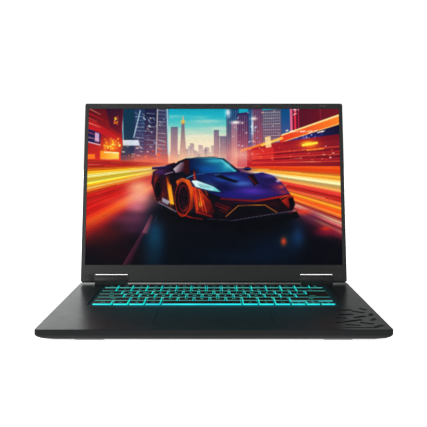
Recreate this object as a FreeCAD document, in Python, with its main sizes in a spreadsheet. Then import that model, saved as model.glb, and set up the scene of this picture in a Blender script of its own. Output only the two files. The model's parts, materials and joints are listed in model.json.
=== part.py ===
import FreeCAD, Part
import os
import Sketcher

# Laptop computer: a 16-inch hinged portable computer, stored with its lid open.
#
# Every sub-part is drawn in one of two working frames, in millimetres:
#   base frame - X to the right, Y from the front edge of the base to the back, Z up from the desk
#   lid frame  - X along the hinge axis, Y from the hinge axis to the lid's free edge,
#                Z out of the display
# and its Placement brings it into the row frame: +Z up, origin on the desk under the middle
# of the whole computer.

DIMENSIONS = {
    # base shells
    "base_width": 361.0, "base_depth": 262.0, "deck_height": 14.0, "seam_height": 8.0,
    "foot_height": 1.0, "shell_wall": 1.4, "base_corner": 4.0, "side_curve": 6.6,
    "edge_break": 0.5, "lip_step": 0.5, "lip_setback": 2.5, "lip_height": 4.7,
    "front_slope": 12.0, "rear_slope": 257.0, "rear_lip": 260.5,
    "corner_fade": 0.175, "deck_flat": 253.0, "tail_height": 11.0,
    "origin_depth": 152.58, "groove_front": 236.0, "groove_rear": 240.4,
    "groove_half": 113.0, "groove_depth": 0.7, "groove_corner": 2.0,
    # openings in the base shells
    "wall_inside": 165.0, "wall_outside": 185.0, "vent_low": 9.4, "vent_high": 11.6,
    "vent_front": 178.0, "vent_pitch": 5.0, "vent_width": 3.4, "outlet_front": 256.2,
    "grille_front": 256.7, "grille_rear": 259.9, "grille_top": 9.7, "louvre_start": 93.6,
    "louvre_pitch": 4.05, "louvre_width": 2.5, "louvre_rim": 0.8,
    "intake_start": 98.0, "intake_pitch": 4.0, "intake_width": 2.0, "intake_front": 177.0,
    "intake_row": 17.0, "intake_length": 14.0, "sound_start": 153.5, "sound_pitch": 2.6,
    "sound_width": 1.4, "sound_front": 50.0, "sound_rear": 74.0,
    # feet
    "foot_inner": 111.0, "foot_outer": 143.0, "foot_near": 14.0, "foot_deep": 8.0,
    "rear_foot_near": 234.0, "rear_foot_half": 120.0, "foot_corner": 3.0,
    # keyboard
    "key_pitch": 19.05, "key_gap": 2.05, "key_count": 15.0, "key_front": 117.8,
    "row_gap": 3.0, "key_height": 2.6, "key_taper": 0.7, "key_bottom": 12.0,
    "key_skirt": 1.0, "key_roof": 1.2, "key_slot_gap": 0.4, "half_key_gap": 1.0,
    "arrow_units": 0.9166667, "well_floor": 12.8, "well_block": 1.2, "well_margin": 4.5,
    "well_rear": 235.0, "well_corner": 3.0, "plate_bottom": 9.4, "plate_thick": 0.6,
    "guide_thick": 0.3, "dome_height": 1.4, "dome_radius": 2.2, "dome_top": 1.3,
    "scissor_size": 11.0, "scissor_bar": 1.4, "scissor_height": 0.7,
    # touchpad
    "pad_width": 125.2, "pad_front": 19.9, "pad_rear": 100.1, "pad_thick": 1.3,
    "pad_gap": 0.4, "pad_corner": 2.0,
    # lid
    "lid_width": 355.8, "lid_length": 247.3, "lid_behind": 3.6, "lid_front": 4.0,
    "lid_back": 4.4, "lid_skin": 1.2, "lid_rear_wall": 2.2, "lid_back_round": 4.0,
    "lid_front_round": 2.0, "lid_tip_round": 1.0, "lid_top_corner": 3.0,
    "lid_ledge": 1.0, "lid_rim": 1.2, "bezel_play": 0.05,
    "lid_bottom_corner": 4.0, "lid_open_angle": 103.45, "hinge_depth": 244.4,
    "hinge_height": 19.0, "bezel_top": 7.7, "bezel_side": 5.1, "bezel_bottom": 23.4,
    "screen_front": 2.6, "screen_thick": 3.0, "screen_lap": 1.2,
    "lens_radius": 1.4, "lens_inset": 4.3,
    # hinges
    "cover_inner": 116.0, "cover_outer": 158.8, "cover_radius": 6.8, "cover_wall": 1.2,
    "notch_side": 0.6, "notch_depth": 7.7, "shaft_radius": 2.0, "shaft_play": 0.05,
    "knuckle_radius": 2.7, "barrel_radius": 4.4, "barrel_start": 122.0,
    "barrel_end": 150.0, "bracket_low": 11.0, "bracket_half": 1.2, "bracket_flare": 3.0,
    # cooling
    "fan_offset": 125.0, "fan_depth": 202.0, "fan_box": 72.0, "fan_bottom": 3.1,
    "fan_top": 9.0, "fan_skin": 0.7, "fan_bore": 31.5, "blade_reach": 30.0,
    "hub_radius": 9.0, "pin_radius": 1.5, "pin_play": 0.05,
    "fin_inner": 92.0, "fin_outer": 158.0, "fin_front": 241.0, "fin_rear": 256.0,
    "fin_bottom": 4.9, "fin_pitch": 2.6, "fin_gap": 1.9, "fin_edge": 1.0,
    "fan_inlet": 23.0, "fan_outlet": 29.0, "pin_bottom": 4.8, "rotor_bottom": 4.4,
    "rotor_height": 3.6, "blade_margin": 0.2, "pipe_width": 7.0, "pipe_thick": 1.8,
    "pipe_bend": 5.0, "pipe_front": 172.0, "plate_overlap": 2.0,
    # inside
    "floor": 3.0, "roof": 12.6, "board_bottom": 6.4, "board_thick": 1.2,
    "post_radius": 2.8, "screw_radius": 1.1, "screw_play": 0.05,
    "head_radius": 2.2, "head_height": 0.8, "shank_length": 6.5, "screw_bore": 6.9,
    "head_sink": 0.2, "driver_reach": 1.3, "driver_half": 0.3, "driver_depth": 0.4,
    "board_front": 104.0, "board_step": 164.0, "board_rear": 238.0, "board_stem": 86.0,
    "battery_half": 150.0, "battery_front": 22.0, "battery_rear": 93.0,
    "battery_low": 3.3, "battery_thick": 5.3, "battery_corner": 2.0, "cell_width": 50.0,
    "speaker_inner": 152.0, "speaker_outer": 167.0, "speaker_front": 41.0,
    "speaker_rear": 94.0, "speaker_low": 3.6, "speaker_high": 10.2, "cone_depth": 62.0,
    "cone_radius": 6.5, "tray_low": 10.0, "tray_thick": 0.8, "tray_margin": 8.0,
    "tray_ear": 2.0,
    # sockets in the side walls
    "socket_face": 180.3, "socket_length": 17.0, "socket_middle": 9.6,
}

doc = FreeCAD.newDocument("laptop_computer")
sheet = doc.addObject("Spreadsheet::Sheet", "dims")
for row, (alias, number) in enumerate(DIMENSIONS.items(), start=1):
    sheet.set(f"A{row}", alias)
    sheet.set(f"B{row}", str(number))
    sheet.setAlias(f"B{row}", alias)
doc.recompute()


class Size:
    """A number kept together with the spreadsheet expression that gives it."""

    def __init__(self, text, value):
        self.text = text
        self.value = float(value)

    def __add__(self, other):
        other = as_size(other)
        return Size(f"({self.text} + {other.text})", self.value + other.value)

    __radd__ = __add__

    def __sub__(self, other):
        other = as_size(other)
        return Size(f"({self.text} - {other.text})", self.value - other.value)

    def __rsub__(self, other):
        return as_size(other) - self

    def __mul__(self, other):
        other = as_size(other)
        return Size(f"({self.text} * {other.text})", self.value * other.value)

    __rmul__ = __mul__

    def __truediv__(self, other):
        other = as_size(other)
        return Size(f"({self.text} / {other.text})", self.value / other.value)

    def __neg__(self):
        return Size(f"(-1 * {self.text})", -self.value)


def as_size(value):
    """A plain number becomes a Size that is its own expression."""
    if isinstance(value, Size):
        return value
    return Size(f"({float(value)!r})", value)


class Dimensions:
    """Gives each spreadsheet cell by its alias, as in dim.base_width."""

    def __getattr__(self, alias):
        return Size(f"dims.{alias}", DIMENSIONS[alias])


dim = Dimensions()
ORIGIN_PLANES = {"XY": "XY_Plane", "XZ": "XZ_Plane", "YZ": "YZ_Plane"}
FINISHED = []


# ---------------------------------------------------------------- helpers

def bind(target, name, value):
    """Sets a property from a number, or ties it to the spreadsheet."""
    if isinstance(value, Size):
        target.setExpression(name, value.text)
    else:
        setattr(target, name, value)


def place(target, at, rotation=None):
    """Places an object at a point whose coordinates may be tied to the spreadsheet."""
    point = [as_size(value).value for value in at]
    turn = rotation or FreeCAD.Rotation()
    target.Placement = FreeCAD.Placement(FreeCAD.Vector(*point), turn)
    for axis, value in zip("xyz", at):
        if isinstance(value, Size):
            target.setExpression(f"Placement.Base.{axis}", value.text)


def box(low, high, name="block"):
    """A box from its lowest to its highest corner."""
    solid = doc.addObject("Part::Box", name)
    for prop, start, end in zip(("Length", "Width", "Height"), low, high):
        bind(solid, prop, as_size(end) - as_size(start))
    place(solid, low)
    return solid


def side_box(side, low, high, name="block"):
    """A box given for the right-hand side, drawn on the right (1) or the left (-1)."""
    if side > 0:
        return box(low, high, name)
    return box((-as_size(high[0]), low[1], low[2]), (-as_size(low[0]), high[1], high[2]), name)


def cylinder(radius, length, at, along="Z", name="round"):
    """A cylinder that starts at a point and runs along +X, +Y or +Z."""
    solid = doc.addObject("Part::Cylinder", name)
    bind(solid, "Radius", radius)
    bind(solid, "Height", length)
    turns = {"X": (FreeCAD.Vector(0, 1, 0), 90), "Y": (FreeCAD.Vector(1, 0, 0), -90),
             "Z": (FreeCAD.Vector(0, 0, 1), 0)}
    place(solid, at, FreeCAD.Rotation(*turns[along]))
    return solid


def side_rod(side, radius, start, end, depth, height, name="rod"):
    """A cylinder along X between two distances from the middle, on one side."""
    low = start if side > 0 else -as_size(end)
    return cylinder(radius, as_size(end) - as_size(start), (low, depth, height), "X", name)


def rounded_box(low, high, radius, edges=(1, 3, 5, 7), name="rounded"):
    """A box with some of its edges rounded: its four upright ones unless said otherwise."""
    solid = doc.addObject("Part::Fillet", name)
    solid.Base = box(low, high)
    amount = as_size(radius).value
    solid.Edges = [(edge, amount, amount) for edge in edges]
    return solid


def group(solids, name="group"):
    """Several separate solids kept as one object."""
    result = doc.addObject("Part::Compound", name)
    result.Links = solids
    return result


def cut(base, tools, name="cut"):
    """Removes one object, or a list of objects that are clear of each other."""
    result = doc.addObject("Part::Cut", name)
    result.Base = base
    result.Tool = group(tools) if isinstance(tools, list) else tools
    return result


def fuse(solids, name="fuse"):
    result = doc.addObject("Part::MultiFuse", name)
    result.Shapes = solids
    result.Refine = True
    return result


def common(base, tool, name="common"):
    result = doc.addObject("Part::Common", name)
    result.Base = base
    result.Tool = tool
    return result


def new_body(name):
    return doc.addObject("PartDesign::Body", name)


def new_sketch(body, plane, level=0):
    """A sketch on one of the body's origin planes, lifted off it by a level."""
    sketch = body.newObject("Sketcher::SketchObject", "sketch")
    role = ORIGIN_PLANES[plane]
    support = [item for item in body.Origin.OriginFeatures if item.Role == role][0]
    sketch.AttachmentSupport = [(support, "")]
    sketch.MapMode = "FlatFace"
    height = as_size(level)
    sketch.AttachmentOffset.Base = FreeCAD.Vector(0, 0, height.value)
    sketch.setExpression("AttachmentOffset.Base.z", height.text)
    return sketch


def outline(body, plane, points, level=0):
    """A closed sketch of straight lines with every corner tied to the spreadsheet."""
    sketch = new_sketch(body, plane, level)
    corners = [FreeCAD.Vector(as_size(a).value, as_size(b).value, 0) for a, b in points]
    count = len(corners)
    for index in range(count):
        line = Part.LineSegment(corners[index], corners[(index + 1) % count])
        sketch.addGeometry(line, False)
    for index in range(count):
        joint = Sketcher.Constraint("Coincident", index, 2, (index + 1) % count, 1)
        sketch.addConstraint(joint)
    for index, point in enumerate(points):
        for kind, coordinate in zip(("DistanceX", "DistanceY"), point):
            amount = as_size(coordinate)
            number = sketch.addConstraint(
                Sketcher.Constraint(kind, -1, 1, index, 1, amount.value))
            sketch.setExpression(f"Constraints[{number}]", amount.text)
    return sketch


def rectangle(x_low, y_low, x_high, y_high):
    return [(x_low, y_low), (x_high, y_low), (x_high, y_high), (x_low, y_high)]


def circle(body, plane, radius, level=0):
    """A sketched circle about the body's origin."""
    sketch = new_sketch(body, plane, level)
    amount = as_size(radius)
    sketch.addGeometry(Part.Circle(FreeCAD.Vector(), FreeCAD.Vector(0, 0, 1), amount.value))
    sketch.addConstraint(Sketcher.Constraint("Coincident", 0, 3, -1, 1))
    number = sketch.addConstraint(Sketcher.Constraint("Radius", 0, amount.value))
    sketch.setExpression(f"Constraints[{number}]", amount.text)
    return sketch


def pad(body, sketch, length, symmetric=False):
    feature = body.newObject("PartDesign::Pad", "pad")
    feature.Profile = sketch
    bind(feature, "Length", length)
    if symmetric:
        feature.SideType = "Symmetric"
    doc.recompute()
    return feature


def pocket(body, sketch, length, reverse=False, symmetric=False):
    """Cuts a sketch into the body and makes sure that it removed something."""
    before = body.Shape.Volume
    feature = body.newObject("PartDesign::Pocket", "pocket")
    feature.Profile = sketch
    bind(feature, "Length", length)
    feature.Reversed = reverse
    if symmetric:
        feature.SideType = "Symmetric"
    doc.recompute()
    if body.Shape.Volume >= before:
        raise RuntimeError(f"the pocket in {body.Label} removed nothing")
    return feature


def round_edges(body, feature, radius, wanted):
    """Fillets the straight edges whose two end points pass a test."""
    names = []
    for index, edge in enumerate(feature.Shape.Edges, start=1):
        if len(edge.Vertexes) == 2 and wanted(edge.Vertexes[0].Point, edge.Vertexes[1].Point):
            names.append(f"Edge{index}")
    fillet = body.newObject("PartDesign::Fillet", "fillet")
    fillet.Base = (feature, names)
    bind(fillet, "Radius", radius)
    doc.recompute()
    return fillet


def upright(a, b):
    """True for an edge along Z."""
    return abs(a.x - b.x) < 1e-6 and abs(a.y - b.y) < 1e-6


def finish_base(solid, label):
    """Names a sub-part of the base and moves it into the row frame."""
    solid.Label = label
    place(solid, (0, -dim.origin_depth, 0))
    FINISHED.append(solid)
    return solid


def finish_lid(solid, label):
    """Names a sub-part of the lid and swings it up to its resting angle."""
    solid.Label = label
    angle = 180 - dim.lid_open_angle
    place(solid, (0, dim.hinge_depth - dim.origin_depth, dim.hinge_height),
          FreeCAD.Rotation(FreeCAD.Vector(1, 0, 0), angle.value))
    solid.setExpression("Placement.Rotation.Angle", angle.text)
    FINISHED.append(solid)
    return solid


# ---------------------------------------------------------------- base shells

half_width = dim.base_width / 2
SIDES = (-1, 1)
# Facets under each front corner: height at the side, and run for each millimetre of drop.
CORNER_SLOPES = ((9.2, 1.25), (7.45, 3.0))


def base_envelope(inset, chamfer, low):
    """The outside of the closed base, or the same shape drawn in by a wall's thickness:
    a side view, a front view and a plan, each extruded, and what they have in common."""
    top = dim.deck_height - inset
    tail = dim.tail_height - inset
    profile = [
        (inset + chamfer, top), (inset, top - chamfer), (inset, dim.seam_height),
        (dim.lip_step + inset, dim.seam_height),
        (dim.lip_setback + inset, dim.lip_height + 0.7 * inset),
        (dim.front_slope + 0.3 * inset, low), (dim.rear_slope - 0.3 * inset, low),
        (dim.rear_lip - inset, dim.lip_height + 0.7 * inset),
        (dim.base_depth - inset, dim.seam_height), (dim.base_depth - inset, tail),
        (dim.deck_flat - 0.1 * inset, top),
    ]
    side_view = new_body("side_view")
    pad(side_view, outline(side_view, "YZ", profile), dim.base_width + 10, symmetric=True)

    reach = half_width - inset
    front = [
        (-reach, low), (reach, low), (reach, top - chamfer), (reach - chamfer, top),
        (-reach + chamfer, top), (-reach, top - chamfer),
    ]
    front_view = new_body("front_view")
    block = pad(front_view, outline(front_view, "XZ", front), 2 * dim.base_depth + 20,
                symmetric=True)
    low_level = low.value
    round_edges(front_view, block, dim.side_curve - inset,
                lambda a, b: abs(a.z - low_level) < 1e-6 and abs(b.z - low_level) < 1e-6
                and abs(a.x - b.x) < 1e-6)

    plan = new_body("plan")
    sides = rectangle(-reach, inset, reach, dim.base_depth - inset)
    block = pad(plan, outline(plan, "XY", sides), dim.deck_height + 5)
    round_edges(plan, block, dim.base_corner - inset, upright)
    whole = common(common(side_view, front_view), plan)
    return cut(whole, [corner_slope(side, rise, run, inset) for side in SIDES
                       for rise, run in CORNER_SLOPES])


def corner_slope(side, rise, run, inset):
    """A block whose upper face slants under a front corner and runs out along the side."""
    outward = FreeCAD.Vector(side, -DIMENSIONS["corner_fade"], -run)
    outward.normalize()
    corner = FreeCAD.Vector(side * half_width.value, 0, rise)
    turn = FreeCAD.Rotation(FreeCAD.Vector(0, 0, 1), outward)
    reach = 120.0
    start = corner - outward * as_size(inset).value
    start = start - turn.multVec(FreeCAD.Vector(reach / 2, reach / 2, 0))
    block = box((0, 0, 0), (reach, reach, 30))
    block.Placement = FreeCAD.Placement(start, turn)
    return block


def port_cutters():
    """Openings in the side walls, one for each socket, and the side air slots."""
    tools = []
    start = dim.wall_inside
    end = dim.wall_outside
    middle = dim.socket_middle
    for side, depth, width, height in SOCKET_OPENINGS:
        tools.append(side_box(side, (start, depth - width / 2, middle - height / 2),
                              (end, depth + width / 2, middle + height / 2)))
    tools.append(side_rod(1, HEADSET_NOSE, start, end, HEADSET_DEPTH, middle))
    tools.append(side_rod(-1, INLET_RADIUS, start, end, INLET_DEPTH, middle))
    for side in SIDES:
        for index in range(SIDE_SLOTS):
            near = dim.vent_front + index * dim.vent_pitch
            tools.append(side_box(side, (start, near, dim.vent_low),
                                  (end, near + dim.vent_width, dim.vent_high)))
        tools.append(side_box(side, (dim.fin_inner, dim.outlet_front, dim.fin_bottom),
                              (dim.fin_outer, dim.base_depth + 8, dim.grille_top)))
    return tools


# Sockets: side, distance from the front edge, opening width and height.
USB_A = (13.2, 5.6)
USB_C = (9.0, 3.4)
HDMI = (15.2, 5.5)
USB_A_PLACES = ((-1, 118.0), (1, 152.0))
USB_C_PLACES = ((1, 134.0),)
HDMI_PLACES = ((-1, 138.0),)
SOCKET_OPENINGS = (
    [(side, depth) + USB_A for side, depth in USB_A_PLACES]
    + [(side, depth) + USB_C for side, depth in USB_C_PLACES]
    + [(side, depth) + HDMI for side, depth in HDMI_PLACES]
)
HEADSET_DEPTH = 118.0
HEADSET_NOSE = 2.7
HEADSET_BORE = 1.78
HEADSET_BORE_LENGTH = 14.0
INLET_DEPTH = 157.0
INLET_RADIUS = 3.6
SIDE_SLOTS = 11
INTAKE_COLUMNS = 14
INTAKE_ROWS = 3
SOUND_SLOTS = 5
LOUVRES = 16
FIN_GAPS = 25
FAN_BLADES = 29
BATTERY_CELLS = 6

SCREW_PLACES = [(-154, 16), (-80, 16), (80, 16), (154, 16), (-165, 99), (-100, 99),
                (100, 99), (165, 99), (-168, 246), (0, 246), (168, 246)]


# Strokes of the palm-rest pattern: middle, length and width, and turn in degrees.
PALM_STROKES = [
    (150, 8.5, 34, 3.0, 0), (169, 14.5, 13, 5.5, 35), (143, 19, 16, 4.8, -14),
    (159, 26, 15, 5.2, -24), (132, 30, 12, 4.4, 20), (147, 37, 22, 5.8, 26),
    (169, 42, 13, 4.8, 62), (136, 49, 13, 4.8, -8), (157, 54, 17, 5.8, 30),
    (171, 64, 13, 4.8, 72), (144, 65, 18, 6.0, 6), (160, 77, 16, 5.6, -35),
    (147, 87, 18, 6.0, 4), (168, 91, 12, 4.8, -58),
]
PALM_DEPTH = 0.5


def palm_pattern():
    """Shallow slanting strokes sunk into the right of the palm rest."""
    tools = []
    for x, y, length, width, turn in PALM_STROKES:
        stroke = rounded_box((-length / 2, -width / 2, 0), (length / 2, width / 2, 1),
                             0.45 * width)
        corner = FreeCAD.Vector(x, y, DIMENSIONS["deck_height"] - PALM_DEPTH)
        stroke.Placement = FreeCAD.Placement(corner, FreeCAD.Rotation(turn, 0, 0))
        tools.append(stroke)
    return tools


outer = base_envelope(as_size(0), dim.edge_break, dim.foot_height)
inner = base_envelope(dim.shell_wall, as_size(0.2), dim.floor)
upper_space = box((-200, -20, dim.seam_height), (200, 300, 30))
lower_space = box((-200, -20, -5), (200, 300, dim.seam_height))
ports = group(port_cutters(), "port_openings")


# ---------------------------------------------------------------- keyboard layout

ROWS = [
    # bottom row first: each key is its width in key pitches and the node it belongs to
    [(1.25, "modifier_keys")] + [(1, "modifier_keys")] * 3 + [(5, "space_bar")]
    + [(1, "modifier_keys")] * 3,
    [(2.25, "left_shift_key")] + [(1, "lower_letter_keys")] * 10 + [(2.75, "right_shift_key")],
    [(1.75, "caps_lock_key")] + [(1, "home_letter_keys")] * 11 + [(2.25, "enter_key")],
    [(1.5, "tab_key")] + [(1, "upper_letter_keys")] * 12,
    [(1, "number_row_keys")] * 13 + [(2, "backspace_key")],
    [(1, "function_row_keys")] * 14 + [(1, "power_key")],
]
ENTER_TOP_UNITS = 1.5
HALF_KEYS = [("left_arrow_key", 0, 0), ("up_arrow_key", 1, 1), ("down_arrow_key", 1, 0),
             ("right_arrow_key", 2, 0)]

keyboard_half = dim.key_pitch * dim.key_count / 2
key_full = dim.key_pitch - dim.key_gap
half_depth = (key_full - dim.half_key_gap) / 2
arrow_pitch = dim.key_pitch * dim.arrow_units


def row_front(number):
    """Front edge of a row's keys; the last row stands off by one more gap."""
    front = dim.key_front + number * dim.key_pitch
    if number == len(ROWS) - 1:
        front = front + dim.row_gap
    return front


def key_places():
    """Every key as (node, left edge, front edge, width, depth), in the base frame."""
    keys = []
    for number, keys_in_row in enumerate(ROWS):
        column = 0.0
        for units, node in keys_in_row:
            left = column * dim.key_pitch - keyboard_half + dim.key_gap / 2
            width = units * dim.key_pitch - dim.key_gap
            keys.append((node, left, row_front(number), width, key_full))
            column += units
    for node, column, level in HALF_KEYS:
        left = keyboard_half - (3 - column) * arrow_pitch + dim.key_gap / 2
        front = dim.key_front + level * (half_depth + dim.half_key_gap)
        keys.append((node, left, front, arrow_pitch - dim.key_gap, half_depth))
    return keys


KEYS = key_places()
enter_left = keyboard_half - ENTER_TOP_UNITS * dim.key_pitch + dim.key_gap / 2
enter_width = ENTER_TOP_UNITS * dim.key_pitch - dim.key_gap
enter_depth = dim.key_pitch + key_full
ENTER_UPPER = ("enter_key", enter_left, row_front(2), enter_width, enter_depth)


def key_block(left, front, width, depth):
    """A key's outside: a block that narrows towards its top."""
    block = doc.addObject("Part::Wedge", "key_block")
    sizes = {
        "Xmin": as_size(0), "Xmax": width, "Zmin": as_size(0), "Zmax": depth,
        "X2min": dim.key_taper, "X2max": width - dim.key_taper,
        "Z2min": dim.key_taper, "Z2max": depth - dim.key_taper,
        "Ymin": as_size(0), "Ymax": dim.key_height,
    }
    for prop, amount in sizes.items():
        setattr(block, prop, amount.value)
        block.setExpression(prop, amount.text)
    place(block, (left, front + depth, dim.key_bottom),
          FreeCAD.Rotation(FreeCAD.Vector(1, 0, 0), 90))
    return block


def key_hollow(left, front, width, depth):
    """The room under a key's top for its dome and scissor."""
    wall = dim.key_skirt
    return box((left + wall, front + wall, dim.key_bottom),
               (left + width - wall, front + depth - wall,
                dim.key_bottom + dim.key_height - dim.key_roof))


def keycap(key):
    return cut(key_block(*key[1:]), key_hollow(*key[1:]), "keycap")


def enter_keycap(lower):
    """The tall enter key, narrower in its upper row."""
    outside = fuse([key_block(*lower[1:]), key_block(*ENTER_UPPER[1:])])
    inside = fuse([key_hollow(*lower[1:]), key_hollow(*ENTER_UPPER[1:])])
    return cut(outside, inside, "keycap")


def make_keys():
    caps = {}
    for key in KEYS:
        cap = enter_keycap(key) if key[0] == "enter_key" else keycap(key)
        caps.setdefault(key[0], []).append(cap)
    for node, solids in caps.items():
        finish_base(solids[0] if len(solids) == 1 else group(solids), node)


def key_slot(left, front, width, depth):
    """The opening in the deck that one key passes through."""
    gap = dim.key_slot_gap
    return box((left - gap, front - gap, 10), (left + width + gap, front + depth + gap, 13.5))


def key_slots():
    slots = [key_slot(*key[1:]) for key in KEYS if key[0] != "enter_key"]
    lower = [key for key in KEYS if key[0] == "enter_key"][0]
    slots.append(fuse([key_slot(*lower[1:]), key_slot(*ENTER_UPPER[1:])]))
    return slots


well_left = -keyboard_half - dim.well_margin
well_front = dim.key_front - dim.well_margin


# ---------------------------------------------------------------- base sub-parts

def make_top_case():
    """Deck and upper walls, with the sunk keyboard well, key openings and screw posts."""
    shell = cut(common(outer, upper_space), inner)
    block_low = dim.well_floor - dim.well_block
    block = box((well_left - 2, well_front - 2, block_low),
                (2 - well_left, dim.well_rear, 13.0))
    posts = [cylinder(dim.post_radius, dim.roof + 0.5 - dim.floor, (x, y, dim.floor))
             for x, y in SCREW_PLACES]
    body = fuse([shell, block] + posts)
    well = rounded_box((well_left, well_front, dim.well_floor),
                       (-well_left, dim.well_rear - 0.4, 20), dim.well_corner)
    body = cut(body, well)
    pad_half = dim.pad_width / 2 + dim.pad_gap
    tools = key_slots()
    tools.append(rounded_box((-pad_half, dim.pad_front - dim.pad_gap, 10),
                             (pad_half, dim.pad_rear + dim.pad_gap, 20), dim.pad_corner))
    for side in SIDES:
        tools.append(side_box(side, (dim.cover_inner, dim.hinge_depth - dim.cover_radius, 12),
                              (dim.cover_outer, dim.hinge_depth + dim.cover_radius, 20)))
    tools += [cylinder(dim.screw_radius, dim.screw_bore, (x, y, dim.floor))
              for x, y in SCREW_PLACES]
    tools += palm_pattern()
    groove_floor = dim.deck_height - dim.groove_depth
    tools.append(rounded_box((-dim.groove_half, dim.groove_front, groove_floor),
                             (dim.groove_half, dim.groove_rear, 20), dim.groove_corner))
    body = cut(body, tools)
    finish_base(cut(body, ports), "top_case")


def make_bottom_cover():
    """Lower tray with fan inlet slots, speaker slots and sunk screw holes."""
    tray = cut(common(outer, lower_space), inner)
    tools = []
    for side in SIDES:
        for line in range(INTAKE_ROWS):
            for index in range(INTAKE_COLUMNS):
                start = dim.intake_start + dim.intake_pitch * index
                near = dim.intake_front + dim.intake_row * line
                tools.append(side_box(side, (start, near, 0), (start + dim.intake_width,
                                                               near + dim.intake_length, 4)))
        for index in range(SOUND_SLOTS):
            start = dim.sound_start + dim.sound_pitch * index
            tools.append(side_box(side, (start, dim.sound_front, 0),
                                  (start + dim.sound_width, dim.sound_rear, 4)))
    for x, y in SCREW_PLACES:
        sink = cylinder(dim.head_radius + 0.2, dim.head_height + dim.head_sink,
                        (x, y, dim.foot_height))
        hole = cylinder(dim.screw_radius + 0.2, 4, (x, y, 0))
        tools.append(fuse([sink, hole]))
    finish_base(cut(cut(tray, tools), ports), "bottom_cover")


def make_case_screws():
    screws = []
    low = dim.foot_height + dim.head_sink
    reach = dim.driver_reach
    half = dim.driver_half
    deep = low + dim.driver_depth
    for x, y in SCREW_PLACES:
        head = cylinder(dim.head_radius, dim.head_height, (x, y, low))
        shank = cylinder(dim.screw_radius - dim.screw_play, dim.shank_length,
                         (x, y, low + dim.head_height))
        cross = [box((x - reach, y - half, 0), (x + reach, y + half, deep)),
                 box((x - half, y - reach, 0), (x + half, y + reach, deep))]
        screws.append(cut(fuse([head, shank]), fuse(cross)))
    finish_base(group(screws), "case_screws")


def make_feet():
    """Two short front feet and one long rear foot, with rounded ends."""
    high = dim.foot_height
    near = dim.foot_near
    front = [rounded_box((start, near, 0), (end, near + dim.foot_deep, high), dim.foot_corner)
             for start, end in ((-dim.foot_outer, -dim.foot_inner),
                                (dim.foot_inner, dim.foot_outer))]
    finish_base(group(front), "front_feet")
    half = dim.rear_foot_half
    near = dim.rear_foot_near
    finish_base(rounded_box((-half, near, 0), (half, near + dim.foot_deep, high),
                            dim.foot_corner), "rear_foot")


def make_rear_grilles():
    """Louvred outlet for the warm air, one behind each set of cooling fins."""
    grilles = []
    for side in SIDES:
        block = side_box(side, (dim.fin_inner, dim.grille_front, dim.fin_bottom),
                         (dim.fin_outer, dim.grille_rear, dim.grille_top))
        slots = []
        for index in range(LOUVRES):
            start = dim.louvre_start + dim.louvre_pitch * index
            slots.append(side_box(side, (start, dim.grille_front - 5,
                                         dim.fin_bottom + dim.louvre_rim),
                                  (start + dim.louvre_width, dim.grille_rear + 5,
                                   dim.grille_top - dim.louvre_rim)))
        grilles.append(cut(block, slots))
    finish_base(group(grilles), "rear_grilles")


def make_hinge_cover(side, label):
    """D-shaped hood over one hinge barrel, standing in its opening in the deck."""
    body = new_body("hood")
    hollow = new_body("hood_hollow")
    for target, drop in ((body, as_size(0)), (hollow, dim.cover_wall)):
        radius = dim.cover_radius - drop
        low = dim.roof - (dim.hinge_height if drop.value == 0 else dim.hinge_height + 1)
        sketch = outline(target, "YZ", rectangle(-radius, low, radius, 0),
                         side * (dim.cover_inner + drop))
        pad(target, sketch, dim.cover_outer - dim.cover_inner - 2 * drop)
        if side < 0:
            target.Tip.Reversed = True
    start = dim.cover_inner
    end = dim.cover_outer
    wall = dim.cover_wall
    for target in (body, hollow):
        place(target, (0, dim.hinge_depth, dim.hinge_height))
    dome = side_rod(side, dim.cover_radius, start, end, dim.hinge_depth, dim.hinge_height)
    void = side_rod(side, dim.cover_radius - wall, start + wall, end - wall,
                    dim.hinge_depth, dim.hinge_height)
    hole = side_rod(side, dim.shaft_radius + 0.3, start - 1, start + 3, dim.hinge_depth,
                    dim.hinge_height)
    hood = cut(fuse([body, dome]), fuse([hollow, void, hole]))
    above_roof = box((-200, 200, dim.roof), (200, 300, 40))
    finish_base(common(hood, above_roof), label)


def make_hinge_base_brackets():
    """Steel knuckle, web and foot that carry each hinge shaft under the deck."""
    brackets = []
    start = dim.barrel_start
    end = dim.barrel_end
    low = dim.bracket_low
    half = dim.bracket_half
    flare = dim.bracket_flare
    for side in SIDES:
        barrel = side_rod(side, dim.barrel_radius, start, end, dim.hinge_depth,
                          dim.hinge_height)
        web = side_box(side, (start, dim.hinge_depth - half, low),
                       (end, dim.hinge_depth + half, dim.hinge_height - 2.5))
        foot = side_box(side, (start - flare, dim.well_rear + 0.8, low),
                        (end + flare, dim.hinge_depth + half, dim.roof))
        bore = side_rod(side, dim.shaft_radius + dim.shaft_play, start - 10, end + 10,
                        dim.hinge_depth, dim.hinge_height)
        brackets.append(cut(fuse([barrel, web, foot]), bore))
    finish_base(group(brackets), "hinge_base_brackets")


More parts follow.
